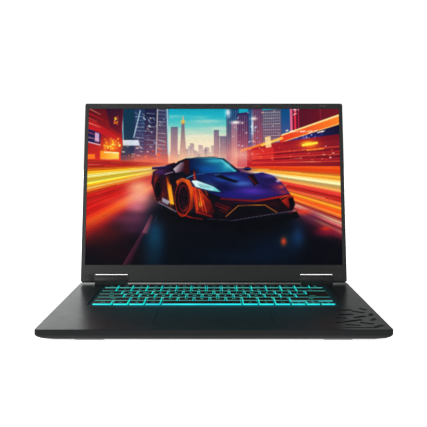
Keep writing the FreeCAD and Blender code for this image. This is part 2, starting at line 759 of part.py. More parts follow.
def make_keyboard_base():
    """Steel plate with a raised rim, light guide, domes and folded scissor frames."""
    rim = 1.0
    left = well_left - 1.5
    front = well_front - 1.5
    low = dim.plate_bottom
    high = low + dim.plate_thick
    tray = box((left, front, low), (-left, dim.well_rear, dim.well_floor - dim.well_block))
    room = box((left + rim, front + rim, high), (-left - rim, dim.well_rear - rim, 20))
    finish_base(cut(tray, room), "keyboard_plate")
    guide_top = high + dim.guide_thick
    finish_base(rounded_box((left + rim, front + rim, high),
                            (-left - rim, dim.well_rear - rim, guide_top), 1.0),
                "keyboard_light_guide")
    domes = []
    scissors = []
    for node, x, y, width, depth in KEYS:
        middle = (x + width / 2, y + depth / 2)
        dome = doc.addObject("Part::Cone", "dome")
        half_key = depth.value < 10
        shrink = 0.7 if half_key else 1.0
        bind(dome, "Radius1", dim.dome_radius * shrink)
        bind(dome, "Radius2", dim.dome_top * shrink)
        bind(dome, "Height", dim.dome_height)
        place(dome, middle + (guide_top,))
        domes.append(dome)
        across = dim.scissor_size / 2
        deep = as_size(2.7) if half_key else across
        bar = as_size(0.8) if half_key else dim.scissor_bar
        high_side = guide_top + dim.scissor_height
        frame = box((middle[0] - across, middle[1] - deep, guide_top),
                    (middle[0] + across, middle[1] + deep, high_side))
        gap = box((middle[0] - across + bar, middle[1] - deep + bar, guide_top),
                  (middle[0] + across - bar, middle[1] + deep - bar, high_side))
        scissors.append(cut(frame, gap))
    finish_base(group(domes), "key_domes")
    finish_base(group(scissors), "key_scissors")


def make_touchpad():
    """Glass-topped pad that clicks about its rear edge, and the bracket that carries it."""
    half = dim.pad_width / 2
    finish_base(rounded_box((-half, dim.pad_front, dim.deck_height - dim.pad_thick),
                            (half, dim.pad_rear, dim.deck_height), dim.pad_corner - 0.4),
                "touchpad")
    edge = half + dim.tray_margin
    low = dim.tray_low
    near = dim.pad_front - 1
    far = dim.pad_rear + 2
    plate = box((-edge, near, low), (edge, far, low + dim.tray_thick))
    ears = [side_box(side, (half + dim.tray_ear, near, low + dim.tray_thick / 2),
                     (edge, far, dim.roof)) for side in SIDES]
    nub = cylinder(3, 1.0, (0, dim.pad_front + 8, low + 0.6))
    window = box((-40, 40, low - 5), (40, 85, low + 1))
    finish_base(cut(fuse([plate, nub] + ears), window), "touchpad_bracket")


# Plans of the two processors and of the cards that lie under the mainboard, each from its
# left front to its right rear corner.
CHIPS = [(-42, 176, -14, 204), (10, 172, 48, 210)]
CHIP_THICK = 1.0
CARDS = [
    ("memory_modules", 3.0, [(-71.6, 108, -2.0, 138), (2.0, 108, 71.6, 138)]),
    ("solid_state_drive", 2.4, [(78, 110, 158, 132)]),
    ("wireless_card", 2.2, [(-110, 112, -80, 134)]),
]


def make_mainboard():
    """T-shaped board: wings reach the side sockets, the stem lies between the fans."""
    wing = dim.socket_face - dim.socket_length
    stem = dim.board_stem
    right = [(wing, dim.board_front), (wing, dim.board_step), (stem, dim.board_step),
             (stem, dim.board_rear)]
    shape = right + [(-x, y) for x, y in reversed(right)]
    board = new_body("board")
    sketch = outline(board, "XY", shape, dim.board_bottom)
    pad(board, sketch, dim.board_thick)
    hole = cylinder(3.2, 10, (0, 160, 2))
    finish_base(cut(board, hole), "mainboard")
    under = dim.board_bottom
    chips = [box((left, near, under - CHIP_THICK), (right, far, under))
             for left, near, right, far in CHIPS]
    finish_base(group(chips), "processor_chips")
    for label, thick, plans in CARDS:
        cards = [rounded_box((left, near, under - thick), (right, far, under), 0.8)
                 for left, near, right, far in plans]
        finish_base(cards[0] if len(cards) == 1 else group(cards), label)


def make_battery():
    """Flat pack of six cells under the palm rest."""
    pack = new_body("pack")
    half = dim.battery_half
    near = dim.battery_front
    far = dim.battery_rear
    top = dim.battery_low + dim.battery_thick
    plan = outline(pack, "XY", rectangle(-half, near, half, far), dim.battery_low)
    block = pad(pack, plan, dim.battery_thick)
    round_edges(pack, block, dim.battery_corner, upright)
    seams = [dim.cell_width * index - half for index in range(1, BATTERY_CELLS)]
    grooves = [box((x - 0.6, near + 4, top - 0.6), (x + 0.6, far - 4, top + 0.4))
               for x in seams]
    finish_base(cut(pack, grooves), "battery_pack")


def make_speakers():
    speakers = []
    for side in SIDES:
        shell = side_box(side, (dim.speaker_inner, dim.speaker_front, dim.speaker_low),
                         (dim.speaker_outer, dim.speaker_rear, dim.speaker_high))
        middle = (side * (dim.speaker_inner + dim.speaker_outer) / 2, dim.cone_depth, dim.floor)
        cone = cylinder(dim.cone_radius, 1.2, middle)
        recess = cylinder(dim.cone_radius - 1.5, 0.8, middle)
        speakers.append(cut(fuse([shell, cone]), recess))
    finish_base(group(speakers), "speakers")


# Middle lines of the heat pipes: across from the middle, and along the fins.
PIPE_LINES = ((33.5, as_size(244.6)), (24.5, as_size(252.4)))


def make_heatsink():
    """Cold plates with flattened heat pipes, and the two fin stacks at the rear."""
    high = dim.fin_bottom
    low = high - dim.pipe_thick
    lap = dim.plate_overlap
    pieces = [box((left - lap, near - lap, high),
                  (right + lap, far + lap, dim.board_bottom - CHIP_THICK))
              for left, near, right, far in CHIPS]
    half = dim.pipe_width / 2
    bend = dim.pipe_bend
    end = dim.fin_outer
    for side in SIDES:
        for across, along in PIPE_LINES:
            inner_edge = across - half
            outer_edge = across + half
            rear = along + half
            front = along - half
            path = [(inner_edge, dim.pipe_front), (inner_edge, rear - bend),
                    (inner_edge + bend, rear), (end, rear), (end, front),
                    (outer_edge + bend / 2, front), (outer_edge, front - bend / 2),
                    (outer_edge, dim.pipe_front)]
            pipe = new_body("pipe")
            pad(pipe, outline(pipe, "XY", [(side * x, y) for x, y in path], low),
                dim.pipe_thick)
            pieces.append(pipe)
    finish_base(fuse(pieces), "heat_pipes")
    stacks = []
    for side in SIDES:
        block = side_box(side, (dim.fin_inner, dim.fin_front, dim.fin_bottom),
                         (dim.fin_outer, dim.fin_rear, dim.fan_top))
        gaps = []
        for index in range(FIN_GAPS):
            start = dim.fin_inner + dim.fin_edge + dim.fin_pitch * index
            gaps.append(side_box(side, (start, dim.fin_front - 5, dim.fin_bottom + 0.5),
                                 (start + dim.fin_gap, dim.fin_rear + 5, dim.fan_top - 0.4)))
        stacks.append(cut(block, gaps))
    finish_base(group(stacks), "heatsink_fins")


def make_fan_housing(side, label):
    """Flat housing, open below and to the rear, with the pin that the rotor turns on."""
    middle = side * dim.fan_offset
    half = dim.fan_box / 2
    low = dim.fan_bottom
    high = dim.fan_top
    skin = dim.fan_skin
    block = box((middle - half, dim.fan_depth - half, low), (middle + half,
                                                             dim.fan_depth + half, high))
    chamber = cylinder(dim.fan_bore, high - low - 2 * skin,
                       (middle, dim.fan_depth, low + skin))
    inlet = cylinder(dim.fan_inlet, 2 * skin, (middle, dim.fan_depth, low - skin / 2))
    outlet = box((middle - dim.fan_outlet, dim.fan_depth, low + skin),
                 (middle + dim.fan_outlet, dim.fan_depth + half + 1, high - skin))
    pin = cylinder(dim.pin_radius, high - skin / 2 - dim.pin_bottom,
                   (middle, dim.fan_depth, dim.pin_bottom))
    finish_base(fuse([cut(block, fuse([chamber, inlet, outlet])), pin]), label)


def make_fan_impeller(side, label):
    """Hub on its pin with a ring of thin swept blades."""
    low = dim.rotor_bottom
    margin = dim.blade_margin
    rotor = new_body("rotor")
    pad(rotor, circle(rotor, "XY", dim.hub_radius, low), dim.rotor_height)
    start = dim.hub_radius - 0.6
    blade_shape = [(start, -0.35), (dim.blade_reach, 3.4), (dim.blade_reach, 4.1),
                   (start, 0.35)]
    blade = pad(rotor, outline(rotor, "XY", blade_shape, low + margin),
                dim.rotor_height - 2 * margin)
    ring = rotor.newObject("PartDesign::PolarPattern", "blades")
    ring.Originals = [blade]
    axis = [item for item in rotor.Origin.OriginFeatures if item.Role == "Z_Axis"][0]
    ring.Axis = (axis, [""])
    ring.Angle = 360
    ring.Occurrences = FAN_BLADES
    rotor.Tip = ring
    doc.recompute()
    pocket(rotor, circle(rotor, "XY", dim.pin_radius + dim.pin_play, 10), 20)
    rotor.Label = label
    place(rotor, (side * dim.fan_offset, dim.fan_depth - dim.origin_depth, 0))
    FINISHED.append(rotor)


def socket_shell(side, depth, width, height, wall, tongue_height):
    """A metal socket in the side wall: shell, cavity and contact tongue."""
    face = dim.socket_face
    back = face - dim.socket_length
    middle = dim.socket_middle
    shell = side_box(side, (back, depth - width / 2, middle - height / 2),
                     (face, depth + width / 2, middle + height / 2))
    room = side_box(side, (back + 1.5, depth - width / 2 + wall, middle - height / 2 + wall),
                    (face + 1, depth + width / 2 - wall, middle + height / 2 - wall))
    reach = width / 2 - wall - 0.9
    tongue = side_box(side, (back + 1, depth - reach, middle - tongue_height / 2),
                      (face - 1.5, depth + reach, middle + tongue_height / 2))
    return fuse([cut(shell, room), tongue])


def make_sockets():
    usb = [socket_shell(side, depth, USB_A[0], USB_A[1], 0.5, 1.8)
           for side, depth in USB_A_PLACES]
    usb += [socket_shell(side, depth, USB_C[0], USB_C[1], 0.4, 0.7)
            for side, depth in USB_C_PLACES]
    finish_base(group(usb), "usb_sockets")
    side, depth = HDMI_PLACES[0]
    finish_base(socket_shell(side, depth, HDMI[0], HDMI[1], 0.5, 1.2), "hdmi_socket")

    middle = dim.socket_middle
    back = dim.socket_face - dim.socket_length
    block = side_box(1, (back, HEADSET_DEPTH - 3.5, middle - 2.8),
                     (dim.socket_face - 1.4, HEADSET_DEPTH + 3.5, middle + 2.8))
    nose = side_rod(1, HEADSET_NOSE, 170, dim.socket_face, HEADSET_DEPTH, middle)
    bore = side_rod(1, HEADSET_BORE, dim.socket_face - HEADSET_BORE_LENGTH,
                    dim.socket_face + 1, HEADSET_DEPTH, middle)
    finish_base(cut(fuse([block, nose]), bore), "headset_socket")

    block = side_box(-1, (back, INLET_DEPTH - 5, 5.6),
                     (dim.socket_face - 2, INLET_DEPTH + 5, 12.4))
    hole = side_rod(-1, 2.9, dim.socket_face - 11, 185, INLET_DEPTH, middle)
    collar = side_rod(-1, INLET_RADIUS, 172, dim.socket_face, INLET_DEPTH, middle)
    pin = side_rod(-1, 0.9, dim.socket_face - 12, dim.socket_face - 1.5, INLET_DEPTH, middle)
    finish_base(fuse([cut(fuse([block, collar]), hole), pin]), "power_inlet")


# ---------------------------------------------------------------- lid sub-parts

lid_half = dim.lid_width / 2
lid_tip = dim.lid_length - dim.lid_behind
notch_inner = dim.cover_inner - dim.notch_side
notch_outer = dim.cover_outer + dim.notch_side
bezel_back = dim.lid_front - dim.lid_skin
opening_half = lid_half - dim.bezel_side
opening_low = dim.bezel_bottom - dim.lid_behind
opening_high = lid_tip - dim.bezel_top


def lid_plan(inset, rear_inset, notch_inset):
    """Plan of the lid with a notch for each hinge hood."""
    low = -dim.lid_behind + rear_inset
    deep = dim.notch_depth + notch_inset
    inner_side = notch_inner - notch_inset
    outer_side = notch_outer + notch_inset
    right = [(inner_side, low), (inner_side, deep), (outer_side, deep), (outer_side, low),
             (lid_half - inset, low), (lid_half - inset, lid_tip - inset)]
    left = [(-x, y) for x, y in reversed(right)]
    return right + left


def lid_envelope():
    """The outside of the whole lid: its rounded section and its notched plan."""
    section = new_body("lid_section")
    sides = rectangle(-dim.lid_behind, -dim.lid_back, lid_tip, dim.lid_front)
    block = pad(section, outline(section, "YZ", sides), dim.lid_width + 10, symmetric=True)
    rear = -DIMENSIONS["lid_behind"]

    def along_hinge(y_test, z_test):
        return lambda a, b: (abs(a.y - b.y) < 1e-6 and abs(a.z - b.z) < 1e-6
                             and y_test(a.y) and z_test(a.z))

    at_rear = along_hinge(lambda y: abs(y - rear) < 1e-6, lambda z: z < 0)
    block = round_edges(section, block, dim.lid_back_round, at_rear)
    at_rear = along_hinge(lambda y: abs(y - rear) < 1e-6, lambda z: z > 0)
    block = round_edges(section, block, dim.lid_front_round, at_rear)
    at_tip = along_hinge(lambda y: y > 100, lambda z: True)
    round_edges(section, block, dim.lid_tip_round, at_tip)

    plan = new_body("lid_plan")
    block = pad(plan, outline(plan, "XY", lid_plan(*[as_size(0)] * 3), -6), 12)
    edge = lid_half.value - 1e-3
    block = round_edges(plan, block, dim.lid_top_corner,
                        lambda a, b: upright(a, b) and abs(a.x) > edge and a.y > 0)
    round_edges(plan, block, dim.lid_bottom_corner - 0.6,
                lambda a, b: upright(a, b) and abs(a.x) > edge and a.y < 0)
    return common(section, plan)


def make_lid_shells():
    """Back cover tray with a raised rim, and the bezel plate that rests on its ledge."""
    whole = lid_envelope()
    cavity = new_body("lid_cavity")
    wall = dim.lid_skin + dim.lid_ledge
    inside = lid_plan(wall, dim.lid_rear_wall, dim.lid_skin)
    pad(cavity, outline(cavity, "XY", inside, dim.lid_skin - dim.lid_back), 12)
    seat = new_body("bezel_seat")
    inside = lid_plan(dim.lid_rim, dim.lid_rim, dim.lid_rim)
    block = pad(seat, outline(seat, "XY", inside, bezel_back), 5)
    tip_edge = lid_half.value - dim.lid_rim.value - 1e-3
    round_edges(seat, block, dim.lid_top_corner - dim.lid_rim,
                lambda a, b: upright(a, b) and abs(a.x) > tip_edge and a.y > 0)
    bores = []
    for side in SIDES:
        knuckle = side_rod(side, dim.knuckle_radius + 0.1, 95.5, notch_inner - dim.lid_skin,
                           0, 0)
        hole = side_rod(side, dim.shaft_radius + 0.2, 100, notch_inner + 5, 0, 0)
        bores += [knuckle, hole]
    finish_lid(cut(whole, fuse([cavity, seat] + bores)), "lid_back_cover")

    plate = new_body("bezel_plate")
    rim = dim.lid_rim + dim.bezel_play
    shape = lid_plan(rim, rim, rim)
    block = pad(plate, outline(plate, "XY", shape, bezel_back), dim.lid_front - bezel_back)
    tip_edge = lid_half.value - rim.value - 1e-3
    round_edges(plate, block, dim.lid_top_corner - rim,
                lambda a, b: upright(a, b) and abs(a.x) > tip_edge and a.y > 0)
    window = box((-opening_half, opening_low, 0), (opening_half, opening_high, 10))
    lens = cylinder(dim.lens_radius, 10, (0, lid_tip - dim.lens_inset, 0))
    finish_lid(cut(common(plate, whole), [window, lens]), "display_bezel")


def make_display():
    """Display panel, its soft gasket and the ribbon that feeds it."""
    front = dim.screen_front
    lap = dim.screen_lap
    low = opening_low - 4.8
    finish_lid(rounded_box((-opening_half - lap, low, front - dim.screen_thick),
                           (opening_half + lap, opening_high + lap, front), 1.0),
               "display_panel")
    ring = box((-opening_half - lap, opening_low - lap, front),
               (opening_half + lap, opening_high + lap, bezel_back))
    hole = box((-opening_half, opening_low, 0), (opening_half, opening_high, 10))
    finish_lid(cut(ring, hole), "display_gasket")

    ribbon = new_body("ribbon")
    shape = [(-112, 4), (-20, 4), (-20, 44), (-30, 44), (-30, 9), (-112, 9)]
    pad(ribbon, outline(ribbon, "XY", shape, -1.8), 0.8)
    plug = box((-30, 34, -1.0), (-20, 42, front - dim.screen_thick))
    finish_lid(fuse([ribbon, plug]), "display_cable")


def make_webcam():
    """Camera board in the top bezel with its lens behind the small window."""
    middle = lid_tip - dim.lens_inset
    board = box((-18, middle - 1.9, -0.6), (18, middle + 1.7, 2.0))
    lens = cylinder(dim.lens_radius + 0.4, 0.8, (0, middle, 2.0))
    glass = cylinder(dim.lens_radius, 1.1, (0, middle, 2.8))
    finish_lid(fuse([board, lens, glass]), "webcam_module")


def make_antennas():
    strips = [side_box(side, (88, lid_tip - 16, -3.2), (138, lid_tip - 4, -2.6))
              for side in SIDES]
    finish_lid(group(strips), "wireless_antennas")


def make_lid_bumpers():
    """Rubber pads that meet the deck when the lid is shut."""
    front = dim.lid_front
    pads = [rounded_box((x - 5, lid_tip - 5.4, front), (x + 5, lid_tip - 2.4, front + 0.9), 1.4)
            for x in (-150, -60, 60, 150)]
    pads += [rounded_box((x - 3, 4, front), (x + 3, 8, front + 0.9), 1.4) for x in (-169, 169)]
    finish_lid(group(pads), "lid_bumpers")


def make_lid_hinges():
    """Steel brackets inside the lid, and the shafts that they drive."""
    brackets = []
    shafts = []
    for side in SIDES:
        end = notch_inner - dim.lid_skin
        knuckle = side_rod(side, dim.knuckle_radius, 96, end, 0, 0)
        plate = side_box(side, (64, -1.2, -3.2), (end, 12, -2.0))
        arm = side_box(side, (64, 10, -3.2), (84, 62, -2.0))
        bore = side_rod(side, dim.shaft_radius, 90, end + 1, 0, 0)
        brackets.append(cut(fuse([knuckle, plate, arm]), bore))
        shafts.append(side_rod(side, dim.shaft_radius, 96.5, 149, 0, 0))
    finish_lid(group(brackets), "hinge_lid_brackets")
    finish_lid(group(shafts), "hinge_shafts")


# ---------------------------------------------------------------- assembly

make_top_case()
make_bottom_cover()
make_case_screws()
make_feet()
make_rear_grilles()
make_hinge_cover(-1, "hinge_cover_left")
make_hinge_cover(1, "hinge_cover_right")
make_hinge_base_brackets()
make_keyboard_base()
make_keys()
make_touchpad()
make_mainboard()
make_battery()
make_speakers()
make_heatsink()
make_fan_housing(-1, "fan_housing_left")
make_fan_housing(1, "fan_housing_right")
make_fan_impeller(-1, "fan_impeller_left")
make_fan_impeller(1, "fan_impeller_right")
make_sockets()
make_lid_shells()
make_display()
make_webcam()
make_antennas()
make_lid_bumpers()
make_lid_hinges()
doc.recompute()

for item in doc.Objects:
    if "Invalid" in item.State or "Error" in item.State:
        raise RuntimeError(f"{item.Name} ({item.Label}) did not build: {item.State}")
for item in FINISHED:
    if item.Shape.isNull() or not item.Shape.isValid() or not item.Shape.Solids:
        raise RuntimeError(f"{item.Label} has no valid solid")

os.makedirs("parts", exist_ok=True)
low = [1e9] * 3
high = [-1e9] * 3
for item in FINISHED:
    item.Shape.exportStep(f"parts/{item.Label}.step")
    bounds = item.Shape.BoundBox
    low = [min(a, b) for a, b in zip(low, (bounds.XMin, bounds.YMin, bounds.ZMin))]
    high = [max(a, b) for a, b in zip(high, (bounds.XMax, bounds.YMax, bounds.ZMax))]
print(len(FINISHED), "sub-parts, from", [round(v, 2) for v in low], "to",
      [round(v, 2) for v in high])
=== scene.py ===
import json
import math

import bmesh
import bpy
import numpy as np
from mathutils import Matrix, Vector


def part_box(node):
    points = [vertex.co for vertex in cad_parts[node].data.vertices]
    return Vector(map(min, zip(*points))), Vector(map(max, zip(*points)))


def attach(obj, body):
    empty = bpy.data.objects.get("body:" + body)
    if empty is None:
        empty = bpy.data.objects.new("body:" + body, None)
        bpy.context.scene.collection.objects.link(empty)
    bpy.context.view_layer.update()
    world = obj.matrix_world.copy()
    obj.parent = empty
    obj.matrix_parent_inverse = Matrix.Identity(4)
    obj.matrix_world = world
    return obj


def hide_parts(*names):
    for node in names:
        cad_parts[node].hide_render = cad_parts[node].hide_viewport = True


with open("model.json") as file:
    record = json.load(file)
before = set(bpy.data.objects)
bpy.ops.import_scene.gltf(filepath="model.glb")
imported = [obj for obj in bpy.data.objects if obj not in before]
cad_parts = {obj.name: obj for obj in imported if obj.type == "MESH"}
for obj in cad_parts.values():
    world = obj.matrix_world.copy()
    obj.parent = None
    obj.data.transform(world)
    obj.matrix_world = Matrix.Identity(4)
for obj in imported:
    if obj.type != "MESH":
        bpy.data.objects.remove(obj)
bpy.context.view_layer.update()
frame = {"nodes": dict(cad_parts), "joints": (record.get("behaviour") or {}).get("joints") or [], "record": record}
MM = 0.001

# ---------------------------------------------------------------- reference points

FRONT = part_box("top_case")[0].y
DECK_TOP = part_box("top_case")[1].z
KEYS_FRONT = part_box("space_bar")[0].y
KEYS_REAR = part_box("function_row_keys")[1].y
hinge = [j for j in frame["joints"] if j["name"] == "lid_hinge"][0]
LID_TURN = Matrix.Translation(Vector(hinge["pos_m"])) @ Matrix.Rotation(
    math.radians(hinge["range_deg"][1]), 4, "X")


def lid_points(node):
    """A lid node's vertices in the lid's own frame: Y away from the hinge, Z out of the display."""
    back = LID_TURN.inverted()
    return np.array([back @ v.co for v in frame["nodes"][node].data.vertices])


# ---------------------------------------------------------------- materials


def add(tree, kind):
    """A new shader node of a kind."""
    return tree.nodes.new("ShaderNode" + kind)


def shader_of(material):
    return material.node_tree.nodes["Principled BSDF"]


def axes(tree, source, output):
    """The X, Y and Z of a node's vector."""
    split = add(tree, "SeparateXYZ")
    tree.links.new(add(tree, source).outputs[output], split.inputs["Vector"])
    return list(split.outputs)


def mix_colours(tree, factor, first, second):
    """Mixes two colours, each a tuple or a socket, by a socket."""
    mix = add(tree, "Mix")
    mix.data_type = "RGBA"
    tree.links.new(factor, mix.inputs["Factor"])
    for name, value in (("A", first), ("B", second)):
        socket = [s for s in mix.inputs if s.name == name and s.type == "RGBA"][0]
        if isinstance(value, tuple):
            socket.default_value = value + (1.0,)
        else:
            tree.links.new(value, socket)
    return [s for s in mix.outputs if s.type == "RGBA"][0]


def noise(tree, scale, detail=2.0, stretch=(1, 1, 1)):
    """Fractal noise over the object's own coordinates, in cells per metre."""
    turn = add(tree, "Mapping")
    turn.inputs["Scale"].default_value = stretch
    field = add(tree, "TexNoise")
    field.inputs["Scale"].default_value = scale
    field.inputs["Detail"].default_value = detail
    tree.links.new(add(tree, "TexCoord").outputs["Object"], turn.inputs["Vector"])
    tree.links.new(turn.outputs["Vector"], field.inputs["Vector"])
    return field.outputs["Fac"]


def remap(tree, value, low, high, to_low=0.0, to_high=1.0):
    node = add(tree, "MapRange")
    tree.links.new(value, node.inputs["Value"])
    for name, number in (("From Min", low), ("From Max", high), ("To Min", to_low),
                         ("To Max", to_high)):
        node.inputs[name].default_value = number
    return node.outputs["Result"]


def maths(tree, operation, *values):
    node = add(tree, "Math")
    node.operation = operation
    for socket, value in zip(node.inputs, values):
        if isinstance(value, (int, float)):
            socket.default_value = value
        else:
            tree.links.new(value, socket)
    return node.outputs["Value"]


def times(tree, first, second):
    return maths(tree, "MULTIPLY", first, second)


def plus(tree, first, second):
    return maths(tree, "ADD", first, second)


def unless(tree, value, factor):
    """A number that goes to zero as a factor goes to one."""
    return times(tree, value, maths(tree, "SUBTRACT", 1.0, factor))


def surface(name, dark, light, rough, spread=0.05, metal=0.0, grain=2600.0, bump=0.12,
            depth=0.00004, blotch=70.0, stretch=(1, 1, 1), coat=0.0, specular=0.5,
            emission=(1.0, 1.0, 1.0), strength=0.0):
    """A finish with slow colour drift, roughness drift and fine grain in its relief."""
    material = bpy.data.materials.new(name)
    material.use_nodes = True
    tree = material.node_tree
    inputs = shader_of(material).inputs
    drift = noise(tree, blotch, 3.0, stretch)
    fine = noise(tree, grain, 2.0, stretch)
    level = remap(tree, drift, 0.3, 0.7)
    tree.links.new(mix_colours(tree, level, dark, light), inputs["Base Color"])
    tone = plus(tree, remap(tree, drift, 0.3, 0.7, rough - spread, rough),
                remap(tree, fine, 0.3, 0.7, 0.0, spread))
    tree.links.new(tone, inputs["Roughness"])
    relief = add(tree, "Bump")
    relief.inputs["Strength"].default_value = bump
    relief.inputs["Distance"].default_value = depth
    tree.links.new(fine, relief.inputs["Height"])
    tree.links.new(relief.outputs["Normal"], inputs["Normal"])
    for socket, value in (("Metallic", metal), ("Coat Weight", coat),
                          ("Specular IOR Level", specular), ("Emission Strength", strength),
                          ("Emission Color", emission + (1.0,))):
        inputs[socket].default_value = value
    return material


def glow_material(name, strength, low, high):
    """Backlit translucent plastic, a little uneven from key to key."""
    material = surface(name, (0.01, 0.10, 0.10), (0.01, 0.14, 0.14), 0.5, strength=strength)
    tree = material.node_tree
    patch = remap(tree, noise(tree, 45.0, 2.0), 0.35, 0.65)
    tree.links.new(mix_colours(tree, patch, low, high),
                   shader_of(material).inputs["Emission Color"])
    return material


# the keys' light on the deck: its colour, how far it reaches, and its bright hem before the keys
SPILL_TEAL = (0.0, 0.70, 0.85, 1.0)
SPILL_REACH = 85 * MM
SPILL_AT_KEYS = 0.022
SPILL_EVERYWHERE = 0.009
SPILL_SIDES = (100 * MM, 150 * MM)
HEM = (16 * MM, 6 * MM)
HEM_STRENGTH = 0.13
# a face's upward share below which it is a wall, and above which it is a top
WALL_TILT = (0.30, 0.60)
# the depths at which a sunk stroke of the palm rest has its full tone, and none of it
STROKE_DEPTH = (0.40 * MM, 0.15 * MM)


def add_key_spill(material):
    """Teal light from the keys: a bright hem just before them, faint over the palm rest.
    Gives back the place's sockets and how much a face is a wall."""
    tree = material.node_tree
    inputs = shader_of(material).inputs
    place = axes(tree, "TexCoord", "Object")
    fall = remap(tree, place[1], KEYS_FRONT - SPILL_REACH, KEYS_FRONT)
    hem = remap(tree, place[1], KEYS_FRONT - HEM[0], KEYS_FRONT - HEM[1])
    width = remap(tree, maths(tree, "ABSOLUTE", place[0]), *SPILL_SIDES, 1.0, 0.0)
    rear = remap(tree, place[1], KEYS_REAR, KEYS_REAR + 4 * MM, 1.0, 0.0)
    level = times(tree, maths(tree, "POWER", fall, 1.5), SPILL_AT_KEYS)
    level = plus(tree, level, times(tree, hem, HEM_STRENGTH))
    level = times(tree, plus(tree, level, SPILL_EVERYWHERE), times(tree, width, rear))
    tilt = axes(tree, "NewGeometry", "True Normal")[2]
    wall = remap(tree, maths(tree, "ABSOLUTE", tilt), *WALL_TILT, 1.0, 0.0)
    inputs["Emission Color"].default_value = SPILL_TEAL
    tree.links.new(unless(tree, level, wall), inputs["Emission Strength"])
    return place, wall


def stroke_tone_and_painted_wall_light(material):
    """Makes the deck darker and rougher in its sunk strokes, and paints light on its walls: they get a paler
    colour, as if lit more than the tops.
    """
    tree = material.node_tree
    inputs = shader_of(material).inputs
    place, wall = add_key_spill(material)
    deep, shallow = STROKE_DEPTH
    sunk = remap(tree, place[2], DECK_TOP - deep, DECK_TOP - shallow, 1.0, 0.0)
    palm = remap(tree, place[1], KEYS_FRONT - 2 * MM, KEYS_FRONT - 1 * MM, 1.0, 0.0)
    stroke = times(tree, sunk, palm)
    finish = inputs["Roughness"].links[0].from_socket
    tree.links.new(plus(tree, finish, times(tree, stroke, 0.20)), inputs["Roughness"])
    plain = inputs["Base Color"].links[0].from_socket
    sunk_tone = mix_colours(tree, stroke, plain, (0.0050, 0.0053, 0.0057))
    # painted light: the walls' paler colour stands in for the light that the front, side and rear walls catch
    tree.links.new(mix_colours(tree, wall, sunk_tone, (0.016, 0.0165, 0.017)),
                   inputs["Base Color"])


# material slot: the darker and the lighter colour, roughness, and what surface() has otherwise
FINISHES = {
    "deck_plastic": ((0.0062, 0.0088, 0.0098), (0.0086, 0.0112, 0.0124), 0.31,
                     dict(grain=2400.0, bump=0.10, specular=0.03)),
    "touchpad_surface": ((0.0070, 0.0085, 0.0092), (0.0090, 0.0105, 0.0114), 0.30,
                         dict(spread=0.03, grain=3600.0, bump=0.03, specular=0.03)),
    "base_plastic": ((0.010, 0.0103, 0.0108), (0.014, 0.0144, 0.015), 0.46,
                     dict(spread=0.06, grain=1900.0, bump=0.16, specular=0.15)),
    "lid_plastic": ((0.006, 0.0063, 0.0070), (0.010, 0.0104, 0.0112), 0.40,
                    dict(metal=0.2, grain=1500.0, bump=0.08, stretch=(0.12, 1, 1), specular=0.4)),
    "bezel_plastic": ((0.0056, 0.0058, 0.0062), (0.0078, 0.0080, 0.0085), 0.46,
                      dict(grain=2100.0, bump=0.14, specular=0.4)),
    "screen_glass_panel": ((0.01, 0.011, 0.013), (0.014, 0.015, 0.018), 0.3, {}),
    "foam": ((0.012, 0.012, 0.012), (0.02, 0.02, 0.02), 0.9,
             dict(grain=1300.0, bump=0.5, depth=0.0002)),
    "rubber_pads": ((0.012, 0.012, 0.012), (0.02, 0.02, 0.02), 0.72,
                    dict(grain=1700.0, bump=0.3, depth=0.0001)),
    "key_plastic": ((0.003, 0.0036, 0.0042), (0.006, 0.0068, 0.0076), 0.55,
                    dict(grain=3000.0, bump=0.10, specular=0.12)),
    "key_rubber": ((0.35, 0.37, 0.36), (0.46, 0.48, 0.47), 0.5, {}),
    "key_frame_plastic": ((0.5, 0.52, 0.52), (0.6, 0.62, 0.62), 0.4, {}),
    "steel": ((0.42, 0.42, 0.43), (0.56, 0.56, 0.57), 0.3,
              dict(spread=0.1, metal=1.0, grain=900.0, stretch=(1, 12, 12), bump=0.1)),
    "socket_metal": ((0.50, 0.50, 0.50), (0.66, 0.66, 0.65), 0.26,
                     dict(spread=0.08, metal=1.0, grain=1200.0, bump=0.05)),
    "socket_plastic": ((0.010, 0.010, 0.011), (0.016, 0.016, 0.017), 0.45, {}),
    "circuit_board": ((0.004, 0.045, 0.030), (0.010, 0.075, 0.050), 0.38,
                      dict(blotch=420.0, grain=1500.0, bump=0.25, coat=0.3)),
    "silicon": ((0.02, 0.022, 0.026), (0.05, 0.05, 0.06), 0.18, {}),
    "copper": ((0.60, 0.26, 0.13), (0.78, 0.38, 0.22), 0.28,
               dict(spread=0.1, metal=1.0, grain=700.0, stretch=(10, 1, 10))),
    "fins": ((0.42, 0.42, 0.44), (0.55, 0.55, 0.57), 0.35, dict(spread=0.08, metal=1.0)),
    "fan_plastic": ((0.011, 0.011, 0.012), (0.018, 0.018, 0.02), 0.42, {}),
    "battery_wrap": ((0.012, 0.012, 0.014), (0.022, 0.022, 0.025), 0.34,
                     dict(grain=700.0, bump=0.2)),
    "ribbon": ((0.10, 0.07, 0.02), (0.16, 0.11, 0.03), 0.4, dict(stretch=(1, 20, 1))),
}
MATERIALS = {slot: surface(slot, dark, light, rough, **rest)
             for slot, (dark, light, rough, rest) in FINISHES.items()}
stroke_tone_and_painted_wall_light(MATERIALS["deck_plastic"])
add_key_spill(MATERIALS["touchpad_surface"])
MATERIALS["light_guide"] = glow_material("light_guide", 0.9, (0.0, 0.5, 0.5), (0.0, 0.8, 0.8))
SIDE_GLOW = glow_material("key_side_glow", 0.95, (0.0, 0.62, 0.62), (0.0, 0.86, 0.62))
FRONT_GLOW = glow_material("key_front_glow", 0.42, (0.04, 0.55, 0.55), (0.12, 0.86, 0.72))
NEAR_GLOW = glow_material("key_near_glow", 1.1, (0.0, 0.66, 0.74), (0.0, 0.90, 0.88))
LEGEND = surface("key_legend", (0.01, 0.2, 0.2), (0.01, 0.26, 0.25), 0.5,
                 emission=(0.08, 0.62, 0.50), strength=0.75)

